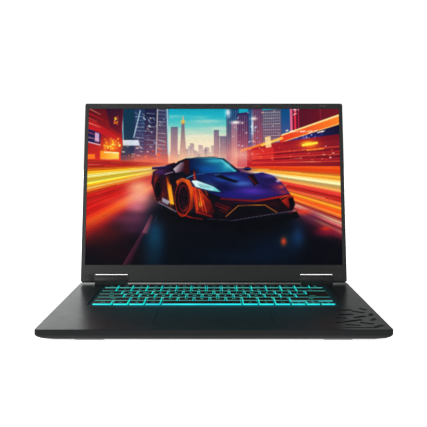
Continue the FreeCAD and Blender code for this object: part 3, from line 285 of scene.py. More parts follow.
for part in frame["record"]["subparts"]:
    node = frame["nodes"][part["node"]]
    node.data.materials.clear()
    node.data.materials.append(MATERIALS[part["material_slot"]])
for hood in ("hinge_cover_left", "hinge_cover_right"):
    frame["nodes"][hood].data.materials[0] = MATERIALS["bezel_plastic"]


def soften(node, width):
    """Rounds a carried-over node's sharp edges as moulding does."""
    item = frame["nodes"][node]
    item.modifiers.new("weld", "WELD").merge_threshold = 2e-6
    bevel = item.modifiers.new("bevel", "BEVEL")
    bevel.width = width * MM
    bevel.segments = 2
    bevel.limit_method = "ANGLE"
    bevel.angle_limit = math.radians(32)
    bevel.harden_normals = False


# ---------------------------------------------------------------- shared mesh helpers


def new_piece(name, mesh, body):
    item = bpy.data.objects.new(name, mesh)
    bpy.context.scene.collection.objects.link(item)
    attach(item, body)
    return item


def close_mesh(bm, name):
    mesh = bpy.data.meshes.new(name)
    bm.to_mesh(mesh)
    bm.free()
    return mesh


def rounded_ring(corners, inset, radius, steps=4):
    """A right-angled outline, anticlockwise, drawn in by an amount and with round corners."""
    ring = []
    for before, here, after in zip(corners[-1:] + corners, corners, corners[1:] + corners[:1]):
        into = (here - before).normalized()
        out = (after - here).normalized()
        corner = here + Vector((-into.y - out.y, into.x + out.x)) * inset
        convex = into.x * out.y - into.y * out.x > 0
        bend = max(radius - inset, 0.05) if convex else radius * 0.6 + inset
        middle = corner + (out - into) * bend
        for k in range(steps + 1):
            turn = k / steps * math.pi / 2
            ring.append(middle - out * (math.cos(turn) * bend) + into * (math.sin(turn) * bend))
    return ring


def skin(bm, lower, upper, material, smooth=False):
    """Joins two loops of the same length with a band of quads."""
    for i in range(len(lower)):
        j = (i + 1) % len(lower)
        face = bm.faces.new((lower[i], lower[j], upper[j], upper[i]))
        face.material_index = material
        face.smooth = smooth


def cap(bm, loop, material, down=False):
    bm.faces.new(loop[::-1] if down else loop).material_index = material


def stack_rings(bm, corners, levels, radius):
    """Skins the rings of (inset, height, material) and closes both ends."""
    loops = []
    for inset, height, _ in levels:
        ring = rounded_ring(corners, inset, radius)
        loops.append([bm.verts.new((p.x * MM, p.y * MM, height * MM)) for p in ring])
    for lower, upper, level in zip(loops, loops[1:], levels[1:]):
        skin(bm, lower, upper, level[2], smooth=True)
    cap(bm, loops[0], levels[0][2], down=True)
    cap(bm, loops[-1], levels[-1][2])


# ---------------------------------------------------------------- keys

KEY_CORNER = 1.5
TOP_FACE = 0
SIDE_FACE = 1
LEGEND_FACE = 2
FRONT_FACE = 3
# a key's rings: inset, height over its foot or below its top, and material
KEY_FOOT = ((1.05, 1.25, TOP_FACE), (1.05, 0.05, TOP_FACE), (0.95, 0.0, SIDE_FACE),
            (0.05, 0.0, SIDE_FACE), (0.02, 0.06, SIDE_FACE))
KEY_TOP = ((0.60, 0.16, SIDE_FACE), (0.64, 0.12, TOP_FACE), (0.74, 0.05, TOP_FACE),
           (0.84, 0.01, TOP_FACE), (1.0, 0.0, TOP_FACE), (1.5, 0.02, TOP_FACE),
           (2.6, 0.13, TOP_FACE), (3.4, 0.15, TOP_FACE))
# a legend's height for one letter, two, and more
GLYPH_SIZES = (6.2, 4.4, 3.6)
LEGENDS = {
    "function_row_keys": ["esc"] + [f"F{n}" for n in range(1, 13)] + ["del"],
    "number_row_keys": list("`1234567890-="),
    "upper_letter_keys": list("QWERTYUIOP[]"),
    "home_letter_keys": list("ASDFGHJKL;'"),
    "lower_letter_keys": list("ZXCVBNM,./"),
    "modifier_keys": ["ctrl", "fn", "o", "alt", "alt", "fn", "ctrl"],
    "backspace_key": ["<-"], "tab_key": ["tab"], "enter_key": ["enter"],
    "caps_lock_key": ["caps"], "left_shift_key": ["shift"], "right_shift_key": ["shift"],
}


def key_spans(node):
    """Each key's (left, right) in millimetres, from the runs of its node's triangles."""
    mesh = frame["nodes"][node].data
    spans = sorted((min(mesh.vertices[v].co.x for v in face.vertices),
                    max(mesh.vertices[v].co.x for v in face.vertices))
                   for face in mesh.polygons)
    merged = [list(spans[0])]
    for low, high in spans[1:]:
        if low <= merged[-1][1] + 1e-6:
            merged[-1][1] = max(merged[-1][1], high)
        else:
            merged.append([low, high])
    return [(low / MM, high / MM) for low, high in merged]


def key_outline(node, left, right, front, rear):
    """Corners of one key at its foot, anticlockwise; the tall enter key has six."""
    last = ((left, rear),)
    if node == "enter_key":
        places = [v.co / MM for v in frame["nodes"][node].data.vertices]
        upper_left = min(p.x for p in places if p.y > (front + rear) / 2 + 3)
        step = max(p.y for p in places if p.x < upper_left - 1)
        last = ((upper_left, rear), (upper_left, step), (left, step))
    return [Vector(p) for p in ((left, front), (right, front), (right, rear)) + last]


def add_glyph(bm, text, x, y, z):
    """Flat raised legend, centred on a point, joined into the key's mesh."""
    curve = bpy.data.curves.new("glyph", "FONT")
    curve.body = text
    curve.size = GLYPH_SIZES[min(len(text), 3) - 1] * MM
    curve.resolution_u = 2
    curve.align_x = "CENTER"
    curve.align_y = "CENTER"
    curve.extrude = 0.00001
    holder = bpy.data.objects.new("glyph", curve)
    bpy.context.scene.collection.objects.link(holder)
    bpy.context.view_layer.update()
    mesh = bpy.data.meshes.new_from_object(holder.evaluated_get(
        bpy.context.evaluated_depsgraph_get()))
    mesh.transform(Matrix.Translation((x * MM, y * MM, z * MM)))
    first = len(bm.faces)
    bm.from_mesh(mesh)
    bm.faces.ensure_lookup_table()
    for face in bm.faces[first:]:
        face.material_index = LEGEND_FACE
    bpy.data.objects.remove(holder)
    bpy.data.curves.remove(curve)
    bpy.data.meshes.remove(mesh)


def raise_shape(bm, points, low, high):
    """A flat raised mark over an outline in millimetres."""
    lower, upper = ([bm.verts.new((x * MM, y * MM, z * MM)) for x, y in points]
                    for z in (low, high))
    cap(bm, upper, LEGEND_FACE)
    cap(bm, lower, LEGEND_FACE, down=True)
    skin(bm, lower, upper, LEGEND_FACE)


def arrow_mark(bm, x, y, quarters, low, high):
    """A small triangle that points right, turned by quarters of a turn."""
    c, s = math.cos(quarters * math.pi / 2), math.sin(quarters * math.pi / 2)
    raise_shape(bm, [(x + u * c - v * s, y + u * s + v * c)
                     for u, v in ((1.5, 0), (-0.9, 1.4), (-0.9, -1.4))], low, high)


def power_mark(bm, x, y, low, high):
    """An open ring with a short bar, the plain sign for on and off."""
    steps = 20
    start, sweep = math.radians(125), math.radians(290)
    for k in range(steps):
        a, b = (start + sweep * (k + d) / steps for d in (0, 1))
        raise_shape(bm, [(x + r * math.cos(t), y + r * math.sin(t))
                         for r, t in ((1.6, a), (1.6, b), (2.0, b), (2.0, a))], low, high)
    raise_shape(bm, [(x + u, y + v) for u, v in ((-0.2, 0.3), (0.2, 0.3), (0.2, 2.1), (-0.2, 2.1))],
                low, high)


def build_key_piece(node):
    low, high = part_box(node)
    foot, top = low.z / MM, high.z / MM
    x, y = (low.x + high.x) / 2 / MM, (low.y + high.y) / 2 / MM
    levels = [(inset, foot + rise, face) for inset, rise, face in KEY_FOOT]
    levels += [(inset, top - drop, face) for inset, drop, face in KEY_TOP]
    bm = bmesh.new()
    words = LEGENDS.get(node, [])
    for index, (left, right) in enumerate(key_spans(node)):
        stack_rings(bm, key_outline(node, left, right, low.y / MM, high.y / MM), levels,
                    KEY_CORNER)
        if index < len(words):
            word_y = low.y / MM + 8.5 if node == "enter_key" else y
            add_glyph(bm, words[index], (left + right) / 2, word_y, top - 0.125)
    if node.endswith("arrow_key"):
        quarters = ("right", "up", "left", "down").index(node.split("_")[0])
        arrow_mark(bm, x, y, quarters, top - 0.16, top - 0.10)
    if node == "power_key":
        power_mark(bm, x, y, top - 0.14, top - 0.09)
    bmesh.ops.recalc_face_normals(bm, faces=bm.faces)
    for face in bm.faces:
        if face.material_index == SIDE_FACE and face.normal.y < -0.6:
            face.material_index = FRONT_FACE
    mesh = close_mesh(bm, node + "_cap")
    near = low.y < KEYS_FRONT + 1 * MM
    for material in (MATERIALS["key_plastic"], SIDE_GLOW, LEGEND,
                     NEAR_GLOW if near else FRONT_GLOW):
        mesh.materials.append(material)
    mesh.set_sharp_from_angle(angle=math.radians(40))
    body = [name for name, members in frame["record"]["behaviour"]["bodies"].items()
            if node in members][0]
    piece = new_piece(node + "_cap", mesh, body)
    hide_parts(node)


for part in frame["record"]["subparts"]:
    if part["material_slot"] == "key_plastic":
        build_key_piece(part["node"])

# ---------------------------------------------------------------- display picture

# the painting's units, the point that its lines run to, the softness of a stroke's edge,
# and the corners across and down in the display's mesh
WIDE, TALL = 160.0, 100.0
VANISH = (67.0, 36.0)
SOFT_EDGE = 0.12
GRID = (396, 248)


def share(value):
    """A number, or an array of them, held between 0 and 1."""
    return np.clip(value, 0, 1)


def rgb(tone):
    return np.array(tone, float) / 255.0


def ramp(value, stops):
    """Colours read off a table of (place, red, green, blue)."""
    table = np.array(stops, float)
    return np.stack([np.interp(value, table[:, 0], table[:, k] / 255.0) for k in (1, 2, 3)], -1)


def wave(seed, count):
    """Smooth random curve over 0..1, for streaks."""
    knots = np.random.RandomState(seed).rand(count + 1)

    def value(t):
        t = share(t) * count
        i = np.minimum(t.astype(int), count - 1)
        f = t - i
        f = f * f * (3 - 2 * f)
        return knots[i] * (1 - f) + knots[i + 1] * f
    return value


def progress(x, y, a, b):
    """How far each point lies along the way from a to b."""
    (ax, ay), (bx, by) = a, b
    return ((x - ax) * (bx - ax) + (y - ay) * (by - ay)) / ((bx - ax)**2 + (by - ay)**2)


def towards(point, part):
    """The point moved a part of the way to the vanishing point."""
    return tuple(p + (v - p) * part for p, v in zip(point, VANISH))


class Canvas:
    """A painting on a fine grid: 160 units wide, 100 units tall, measured from the top left.
    Colours are red, green and blue up to 255."""

    def __init__(self, columns, rows, over):
        self.over = over
        self.nx, self.ny = columns * over, rows * over
        xs = (np.arange(self.nx) + 0.5) / self.nx * WIDE
        ys = (np.arange(self.ny) + 0.5) / self.ny * TALL
        self.x, self.y = np.meshgrid(xs, ys)
        self.c = np.zeros((self.ny, self.nx, 3))

    def part(self, x0, y0, x1, y1):
        """The grid's slice that covers a rectangle."""
        i0 = max(int(y0 / TALL * self.ny) - 1, 0)
        i1 = min(int(y1 / TALL * self.ny) + 2, self.ny)
        j0 = max(int(x0 / WIDE * self.nx) - 1, 0)
        j1 = min(int(x1 / WIDE * self.nx) + 2, self.nx)
        return slice(i0, max(i1, i0)), slice(j0, max(j1, j0))

    def lay(self, where, mask, colour):
        """Blends a colour, or an array of them, in by a mask."""
        m = mask[..., None]
        self.c[where] = self.c[where] * (1 - m) + colour * m

    def poly(self, points, tone, alpha=1.0, second=None, along=None):
        """A filled outline; with a second colour it grades from one point to another."""
        px = [p[0] for p in points]
        py = [p[1] for p in points]
        where = self.part(min(px), min(py), max(px), max(py))
        x, y = self.x[where], self.y[where]
        if x.size == 0:
            return
        inside = np.zeros(x.shape, bool)
        for (x0, y0), (x1, y1) in zip(points, points[1:] + points[:1]):
            if y0 != y1:
                at = (x1 - x0) * (y - y0) / (y1 - y0) + x0
                inside ^= ((y0 > y) != (y1 > y)) & (x < at)
        colour = rgb(tone)
        if second is not None:
            t = share(progress(x, y, *along))[..., None]
            colour = colour * (1 - t) + rgb(second) * t
        self.lay(where, inside * alpha, colour)

    def line(self, a, b, width, tone, alpha=1.0, taper=1.0):
        """A straight stroke whose width goes from width to width times taper."""
        (ax, ay), (bx, by) = a, b
        where = self.part(min(ax, bx) - width, min(ay, by) - width, max(ax, bx) + width,
                          max(ay, by) + width)
        x, y = self.x[where], self.y[where]
        if x.size == 0:
            return
        t = progress(x, y, a, b)
        inside = (t >= 0) & (t <= 1)
        t = share(t)
        off = np.hypot(x - ax - t * (bx - ax), y - ay - t * (by - ay))
        half = width / 2 * (1 + (taper - 1) * t)
        self.lay(where, share((half - off) / SOFT_EDGE + 0.5) * inside * alpha, rgb(tone))

    def spot(self, x, y, rx, ry, tone, alpha=1.0, hard=False):
        """A soft glow, or a hard ellipse."""
        grow = 1.0 if hard else 3.0
        where = self.part(x - rx * grow, y - ry * grow, x + rx * grow, y + ry * grow)
        d = ((self.x[where] - x) / rx)**2 + ((self.y[where] - y) / ry)**2
        mask = (d < 1) * 1.0 if hard else np.exp(-d)
        self.lay(where, mask * alpha, rgb(tone))

    def ring(self, x, y, rx, ry, inner, tone, alpha=1.0):
        where = self.part(x - rx, y - ry, x + rx, y + ry)
        d = np.hypot((self.x[where] - x) / rx, (self.y[where] - y) / ry)
        self.lay(where, ((d < 1) & (d > inner)) * alpha, rgb(tone))

    def glows(self, *spots):
        """Several soft spots: middle, reach, colour and strength of each."""
        for spot in spots:
            self.spot(*spot)

    def strokes(self, *lines):
        """Several strokes: both ends, width, colour and strength of each."""
        for ax, ay, bx, by, *rest in lines:
            self.line((ax, ay), (bx, by), *rest)

    def sparkle(self, seed, count, area, tones, long=1.2, tall=0.5, alpha=0.8):
        """Small bright dashes strewn over a rectangle, leaning towards the vanishing point."""
        x0, y0, x1, y1 = area
        rand = np.random.RandomState(seed)
        for _ in range(count):
            x, y = x0 + rand.rand() * (x1 - x0), y0 + rand.rand() * (y1 - y0)
            part = long * (0.4 + rand.rand()) / max(abs(VANISH[0] - x), 4)
            self.line((x, y), towards((x, y), part), tall * (0.4 + rand.rand()),
                      tones[rand.randint(len(tones))], alpha * (0.4 + 0.6 * rand.rand()))

    def shrink(self):
        o = self.over
        return self.c.reshape(self.ny // o, o, self.nx // o, o, 3).mean(axis=(1, 3))


def paint_sky(cv):
    cv.c[:] = ramp(cv.y, [(-1, 4, 150, 176), (5, 40, 172, 186), (12, 120, 196, 188),
                          (20, 226, 218, 186), (28, 252, 214, 178), (36, 255, 192, 150),
                          (101, 200, 120, 110)])
    rand = np.random.RandomState(4)
    for _ in range(22):
        x, y = 48 + rand.rand() * 44, 3 + rand.rand() * 24
        cv.spot(x, y, 4 + rand.rand() * 8, 0.5 + rand.rand() * 0.9, (255, 228, 200), 0.22)
    cv.spot(68, 30, 15, 7, (255, 232, 200), 0.85)


def paint_skyline(cv):
    haze = [(176, 160, 160), (150, 132, 146), (126, 112, 134)]
    rand = np.random.RandomState(11)
    for depth in range(3):
        for index in range(15 - 2 * depth):
            x = 48 + index * (3.1 + depth * 0.5) + rand.rand() * 1.5
            wide = 1.4 + rand.rand() * 2.0
            top = 31 - rand.rand() * (6 + 5 * depth) + depth
            cv.poly([(x, top), (x + wide, top + 0.4), (x + wide, 37), (x, 37)],
                    haze[depth], 0.7, (250, 196, 164), ((x, top), (x, 36)))
    cv.poly([(59.4, 9), (61.2, 9), (61.8, 20), (63.4, 36), (57.8, 36), (58.9, 20)],
            (104, 98, 120), 0.95, (240, 180, 150), ((60, 9), (60, 36)))
    cv.line((60.3, 5.0), (60.3, 10), 0.5, (240, 160, 90))
    cv.spot(60.3, 8.6, 1.3, 1.2, (255, 184, 60), 0.95)
    for x, top, wide in ((52.5, 12, 4.6), (80, 14, 3.2), (84, 18, 4.6)):
        cv.poly([(x, top), (x + wide, top), (x + wide, 37), (x, 37)], (96, 88, 118), 0.92,
                (232, 160, 140), ((x, top), (x, 37)))
        for k in range(int(wide / 0.9)):
            cv.line((x + 0.5 + 0.9 * k, top + 0.8), (x + 0.5 + 0.9 * k, 34), 0.3,
                    (214, 180, 176), 0.4)
    cv.spot(66, 35, 20, 4, (255, 214, 170), 0.75)


def paint_left(cv):
    """Towers and shop fronts on the left, glowing towards the street."""
    for x, wide, tone, low in (
            (21, 8.5, (10, 62, 84), (70, 60, 90)), (29.5, 6.5, (40, 60, 96), (120, 80, 110)),
            (36, 8.0, (34, 36, 72), (150, 90, 110)), (43.5, 7.5, (62, 64, 96), (190, 110, 110))):
        cv.poly([(x, -1), (x + wide, -1), (x + wide, 37), (x, 37)], tone, 1.0, low, ((x, 6), (x, 36)))
    pale = [(210, 230, 236), (150, 176, 200), (110, 130, 170), (240, 220, 190)]
    for x, top, low, step in ((30, 5, 30, 2.3), (37, 3, 31, 2.9), (44, 1, 32, 2.5)):
        for k in range(int((low - top) / step)):
            y = top + step * k
            cv.line((x, y), (x + 5.4, y + 0.35), 0.4, pale[k % 3], 0.5)
    cv.sparkle(41, 46, (29, 2, 50, 26), pale, 1.6, 0.55, 0.75)
    cv.strokes(
        (21.4, 1, 22.6, 24, 0.5, (180, 226, 240), 0.8), (33, 1, 29, 19, 0.7, (200, 232, 240), 0.7),
        (44, 0, 43.4, 30, 0.45, (236, 226, 210), 0.85), (50.2, 0, 51.2, 30, 0.9, (170, 226, 236), 0.8))
    cv.poly([(22, 20.5), (32, 20.5), (33, 24), (22.4, 24)], (226, 236, 246), 0.85)

    # street front in red, with lamps and shop light
    cv.poly(
        [(-1, -1), (22, -1), (21, 37), (-1, 40)], (96, 12, 30), 1.0, (214, 50, 40), ((12, 0), (14, 36)))
    cv.poly(
        [(10.5, -1), (21.5, -1), (21, 17), (14, 12)], (52, 14, 48), 0.95, (120, 20, 46),
        ((12, 0), (18, 18)))
    cv.poly([(-1, 7), (4, 8.5), (22, 20), (22, 25), (6, 14.5), (-1, 13)], (186, 28, 40), 0.9)
    cv.poly(
        [(-1, 12.8), (8, 16.4), (8, 23), (-1, 21.6)], (20, 26, 86), 1.0, (50, 30, 90), ((0, 13), (8, 22)))
    cv.poly([(4.5, 15.5), (7, 16.3), (7, 21.8), (4.5, 21.2)], (214, 170, 206), 0.9)
    cv.line((-1, 21.4), (8, 23.8), 0.5, (236, 220, 236), 0.9)
    ember = [(255, 200, 40), (255, 236, 110), (255, 140, 30), (255, 96, 40)]
    cv.spot(15.5, 24, 6.0, 4.0, (255, 150, 40), 0.75)
    cv.sparkle(43, 46, (10, 19.5, 19.5, 27), ember, 1.0, 1.1, 0.95)
    cv.sparkle(44, 12, (15.5, 4.5, 18.5, 10), ember, 0.8, 1.1, 0.95)
    cv.poly(
        [(8, 27.4), (20, 28.4), (20, 33.0), (8, 32.8)], (255, 150, 30), 0.9, (255, 220, 90),
        ((8, 30), (18, 30)))
    cv.line((10.5, 28.4), (19.5, 29.0), 0.5, (255, 252, 220), 0.95)
    cv.poly([(-1, 29.8), (4.5, 29.6), (4.8, 32.6), (-1, 32.8)], (255, 130, 30), 0.9)
    cv.sparkle(45, 26, (20, 24, 46, 33), [(255, 160, 90), (255, 220, 190), (255, 90, 60)], 1.6, 0.7, 0.85)
    for k in range(8):
        y = 3.2 * k - 4
        cv.line(
            (-1, y), towards((-1, y), 0.10 + 0.03 * (k % 3)), 0.7,
            ((255, 120, 90), (255, 190, 150), (230, 40, 50))[k % 3], 0.6, 0.4)
    cv.spot(37, 34.5, 18, 4.0, (255, 120, 80), 0.75)


def paint_right(cv):
    """Towers on the right, a lit bridge and the street under it."""
    for x, wide, top, tone, low in (
            (88, 8, -1, (16, 70, 110), (216, 120, 120)), (91, 4, 9, (126, 104, 130), (226, 130, 120)),
            (95, 8, 3, (56, 44, 90), (200, 90, 100)), (102, 3, -1, (20, 76, 120), (150, 80, 120)),
            (104.5, 6.5, -1, (92, 60, 96), (200, 90, 90)), (111, 12, 1, (84, 84, 104), (140, 70, 90))):
        cv.poly(
            [(x, top), (x + wide, top - 1), (x + wide, 38), (x, 38)], tone, 1.0, low, ((x, max(top, 4)),
            (x, 36)))
        for k in range(int(wide / 1.3)):
            at = x + 0.7 + 1.3 * k
            cv.line((at, max(top, 0) + 1), (at, 31), 0.35, (236, 200, 200), 0.3)
    pale = [(236, 240, 248), (176, 190, 210), (255, 200, 170), (120, 170, 210)]
    for k in range(12):
        cv.line((111.6, 2.6 + 1.9 * k), (122.4, 2.2 + 1.9 * k), 0.4, pale[k % 2], 0.45)
    cv.sparkle(51, 46, (90, 1, 122, 26), pale, 1.2, 0.6, 0.85)
    for x, y, rx, ry, tone in (
            (89, 2.5, 1.6, 2.6, (226, 244, 250)), (94, 9.0, 3.0, 1.0, (255, 246, 236)),
            (105.5, 6.5, 2.0, 0.9, (255, 236, 220)), (104.6, 12, 0.7, 7.0, (206, 236, 250))):
        cv.spot(x, y, rx, ry, tone, 0.9)
    cv.poly(
        [(123, -1), (129, -1), (129, 17), (123, 19)], (6, 82, 128), 1.0, (90, 90, 140),
        ((122, 2), (122, 19)))
    cv.poly(
        [(129, -1), (161, -1), (161, 12), (129, 20)], (84, 18, 46), 1.0, (120, 22, 40),
        ((130, 0), (158, 12)))
    for x, wide, tone in (
            (129.4, 1.5, (255, 120, 150)), (131.8, 1.1, (255, 60, 90)), (134, 0.7, (180, 40, 80)),
            (148, 0.5, (150, 40, 70))):
        cv.line((x, -1), (x + 0.2, 18), wide, tone, 0.85)
    cv.sparkle(52, 10, (129, 0, 135, 4), [(255, 230, 230)], 0.8, 0.8)
    cv.poly(
        [(124, 18.5), (161, 9.5), (161, 20), (124, 24)], (36, 34, 120), 0.97, (20, 16, 50),
        ((132, 20), (160, 14)))
    cv.sparkle(
        53, 34, (131, 16.5, 150, 21), [(206, 214, 255), (120, 130, 250), (90, 110, 230)], 0.8, 1.0, 0.9)
    cv.poly(
        [(122, 17.8), (161, 4.2), (161, 9.6), (122, 22)], (226, 66, 40), 1.0, (255, 130, 40),
        ((124, 20), (160, 8)))
    cv.strokes(
        (123, 17.4, 161, 3.9, 0.8, (255, 226, 150), 0.95, 1.5),
        (124, 21.6, 161, 9.6, 0.5, (255, 190, 110), 0.9, 1.5))
    cv.sparkle(54, 16, (126, 15, 152, 14), [(255, 240, 220)], 2.6, 0.7, 0.9)
    cv.poly(
        [(101, 26), (124, 21.5), (161, 16.5), (161, 40), (101, 38)], (178, 30, 40), 0.95, (120, 16, 36),
        ((104, 30), (160, 30)))
    cv.strokes(
        (97, 27.5, 122, 19.8, 1.3, (255, 130, 50), 0.9), (110, 24, 124, 19, 1.6, (255, 200, 90), 0.85))
    cv.poly([(112.4, 18.6), (116, 18.0), (116.6, 25), (113, 25.6)], (255, 214, 150), 0.85)
    for k in range(7):
        y = 27.5 + 1.6 * k
        cv.line(
            (104, 30 + 0.9 * k), (161, y - 3), 0.55, ((240, 90, 60), (90, 10, 34), (200, 44, 50))[k % 3],
            0.75)
    cv.poly([(104, 27.4), (118, 25), (118, 33), (104, 33.5)], (224, 60, 50), 0.6)
    cv.glows((140.5, 23.4, 6.0, 3.0, (255, 120, 30), 0.9), (140, 22.8, 3.6, 1.3, (255, 214, 50), 0.95))
    cv.strokes(
        (136, 24.0, 146, 22.2, 1.4, (255, 236, 80), 0.9),
        (139, 27.2, 150, 26.0, 0.7, (255, 140, 40), 0.9))
    cv.sparkle(
        55, 40, (98, 24, 160, 34), [(255, 220, 200), (255, 120, 60), (255, 180, 150)], 1.4, 0.55, 0.8)
    cv.spot(97, 30, 7, 4.5, (255, 190, 160), 0.6)


HOT = ((0.0, 190, 60, 40), (0.09, 160, 28, 32), (0.12, 222, 100, 20), (0.16, 242, 160, 20),
       (0.20, 255, 244, 160), (0.23, 240, 200, 40), (0.265, 250, 230, 100), (0.30, 247, 150, 14),
       (0.325, 250, 200, 110), (0.36, 239, 112, 30), (0.40, 176, 30, 22), (0.44, 160, 18, 20),
       (0.52, 206, 28, 22), (0.59, 198, 26, 24), (0.66, 226, 72, 28), (0.71, 240, 100, 30),
       (0.76, 216, 70, 28), (0.81, 168, 38, 28), (0.87, 115, 20, 28), (0.94, 78, 14, 24),
       (1.0, 50, 10, 22))
WARM = ((0.0, 236, 150, 60), (0.05, 224, 84, 16), (0.11, 228, 70, 14), (0.15, 246, 150, 60),
        (0.19, 240, 150, 50), (0.235, 252, 226, 160), (0.27, 252, 216, 140), (0.31, 246, 170, 90),
        (0.345, 214, 70, 56), (0.41, 186, 36, 34), (0.46, 224, 90, 54), (0.51, 247, 154, 44),
        (0.56, 235, 80, 22), (0.60, 240, 124, 54), (0.635, 170, 48, 46), (0.67, 240, 186, 154),
        (0.70, 222, 130, 122), (0.735, 128, 40, 52), (0.77, 226, 150, 130), (0.80, 120, 46, 60),
        (0.86, 54, 18, 32), (1.0, 20, 10, 30))


def paint_ground(cv):
    """Road and the streaks of light that race along both of its sides."""
    vx, vy = VANISH
    where = cv.part(0, vy - 3, WIDE, TALL)
    x, y = cv.x[where], cv.y[where]
    deep = share((y - 37) / 55)[..., None]
    road = rgb((110, 60, 100)) * (1 - deep) + rgb((1, 4, 14)) * deep
    dim = 0.8 * share((y - 44) / 24)[..., None]
    cv.lay(where, share(y - 38.0), road * (1 - dim) + rgb((1, 7, 20)) * dim)

    fine = wave(31, 150)
    mid = wave(32, 46)
    slope = (y - vy) / np.maximum(vx - x, 0.5)
    t = share((slope + 0.06) / 0.9)
    shine = (fine(t) - 0.5) * 0.75 + (mid(t) - 0.5) * 0.35
    shine = shine * np.clip(1.25 - t * 1.5, 0.1, 1)
    streak = share(ramp(t, HOT) * (1 + shine[..., None]))
    span = share((vx - 2 - x) / 6) * share((slope + 0.06) / 0.03)
    pink = share(1.05 - (vx - x) / 42)[..., None]
    blush = rgb((250, 176, 140)) * (1 - t[..., None]) + rgb((170, 90, 140)) * t[..., None]
    streak = streak * (1 - 0.8 * pink) + blush * 0.8 * pink
    cv.lay(where, span * share((1.0 - t) / 0.16) * (y > 33.5), streak)

    slope = (y - vy) / np.maximum(x - vx, 0.5)
    t = share((slope + 0.01) / 0.62)
    shine = (fine(1 - t) - 0.5) * 0.6 + (mid(1 - t) - 0.5) * 0.3
    streak = share(ramp(t, WARM) * (1 + shine[..., None]))
    span = share((x - vx - 30) / 12) * share((slope + 0.01) / 0.02)
    cv.lay(where, span * share((0.98 - t) / 0.14) * (y > 37.5), streak)

    # cyan and red reflections in the wet road, and haze over the streaks
    cv.glows(
        (43, 82, 6.0, 14, (10, 74, 100), 0.9), (41, 93, 7, 9, (0, 56, 76), 0.6),
        (132, 80, 4.6, 9, (28, 76, 122), 0.85), (124, 84, 7, 12, (4, 50, 74), 0.6),
        (96, 95, 30, 6, (4, 24, 44), 0.8), (112, 90, 10, 9, (4, 28, 56), 0.6),
        (150, 79, 8, 3.2, (150, 26, 60), 0.8), (150, 77, 3.5, 1.2, (226, 60, 30), 0.8),
        (123.5, 85, 1.8, 2.6, (226, 80, 40), 0.85), (140, 70, 7, 5, (120, 50, 84), 0.8),
        (136, 66.5, 5, 1.8, (235, 70, 40), 0.8), (24, 60, 15, 3.5, (250, 150, 100), 0.3),
        (33, 51, 8, 5, (250, 186, 140), 0.8), (33, 57.5, 8, 5, (242, 166, 150), 0.8),
        (32, 64, 8, 4.5, (218, 124, 140), 0.75), (10, 79, 16, 6, (130, 26, 30), 0.6),
        (24, 71, 11, 4, (150, 60, 80), 0.6), (32, 71, 9, 4, (130, 74, 106), 0.7),
        (30, 77, 9, 4, (92, 48, 80), 0.6), (8, 85, 16, 6, (78, 16, 24), 0.6),
        (20, 93, 18, 7, (32, 8, 20), 0.8), (150, 94, 12, 7, (14, 8, 22), 0.7))
    for k in range(7):
        cv.line((41 + 0.08 * k, 68.5), (35.4 + 0.3 * k, 80), 0.5 + 0.25 * k, (170, 92, 110), 0.16,
                1.8)
        cv.line((36.2, 79), (23 + 0.4 * k, 101), 0.5 + 0.3 * k, (104, 44, 72), 0.13, 2.2)
    cv.strokes((45, 68.5, 43, 72.5, 0.5, (90, 120, 150), 0.6, 1.5),
               (112, 80, 134, 101, 0.4, (10, 20, 40), 0.8, 2.0))


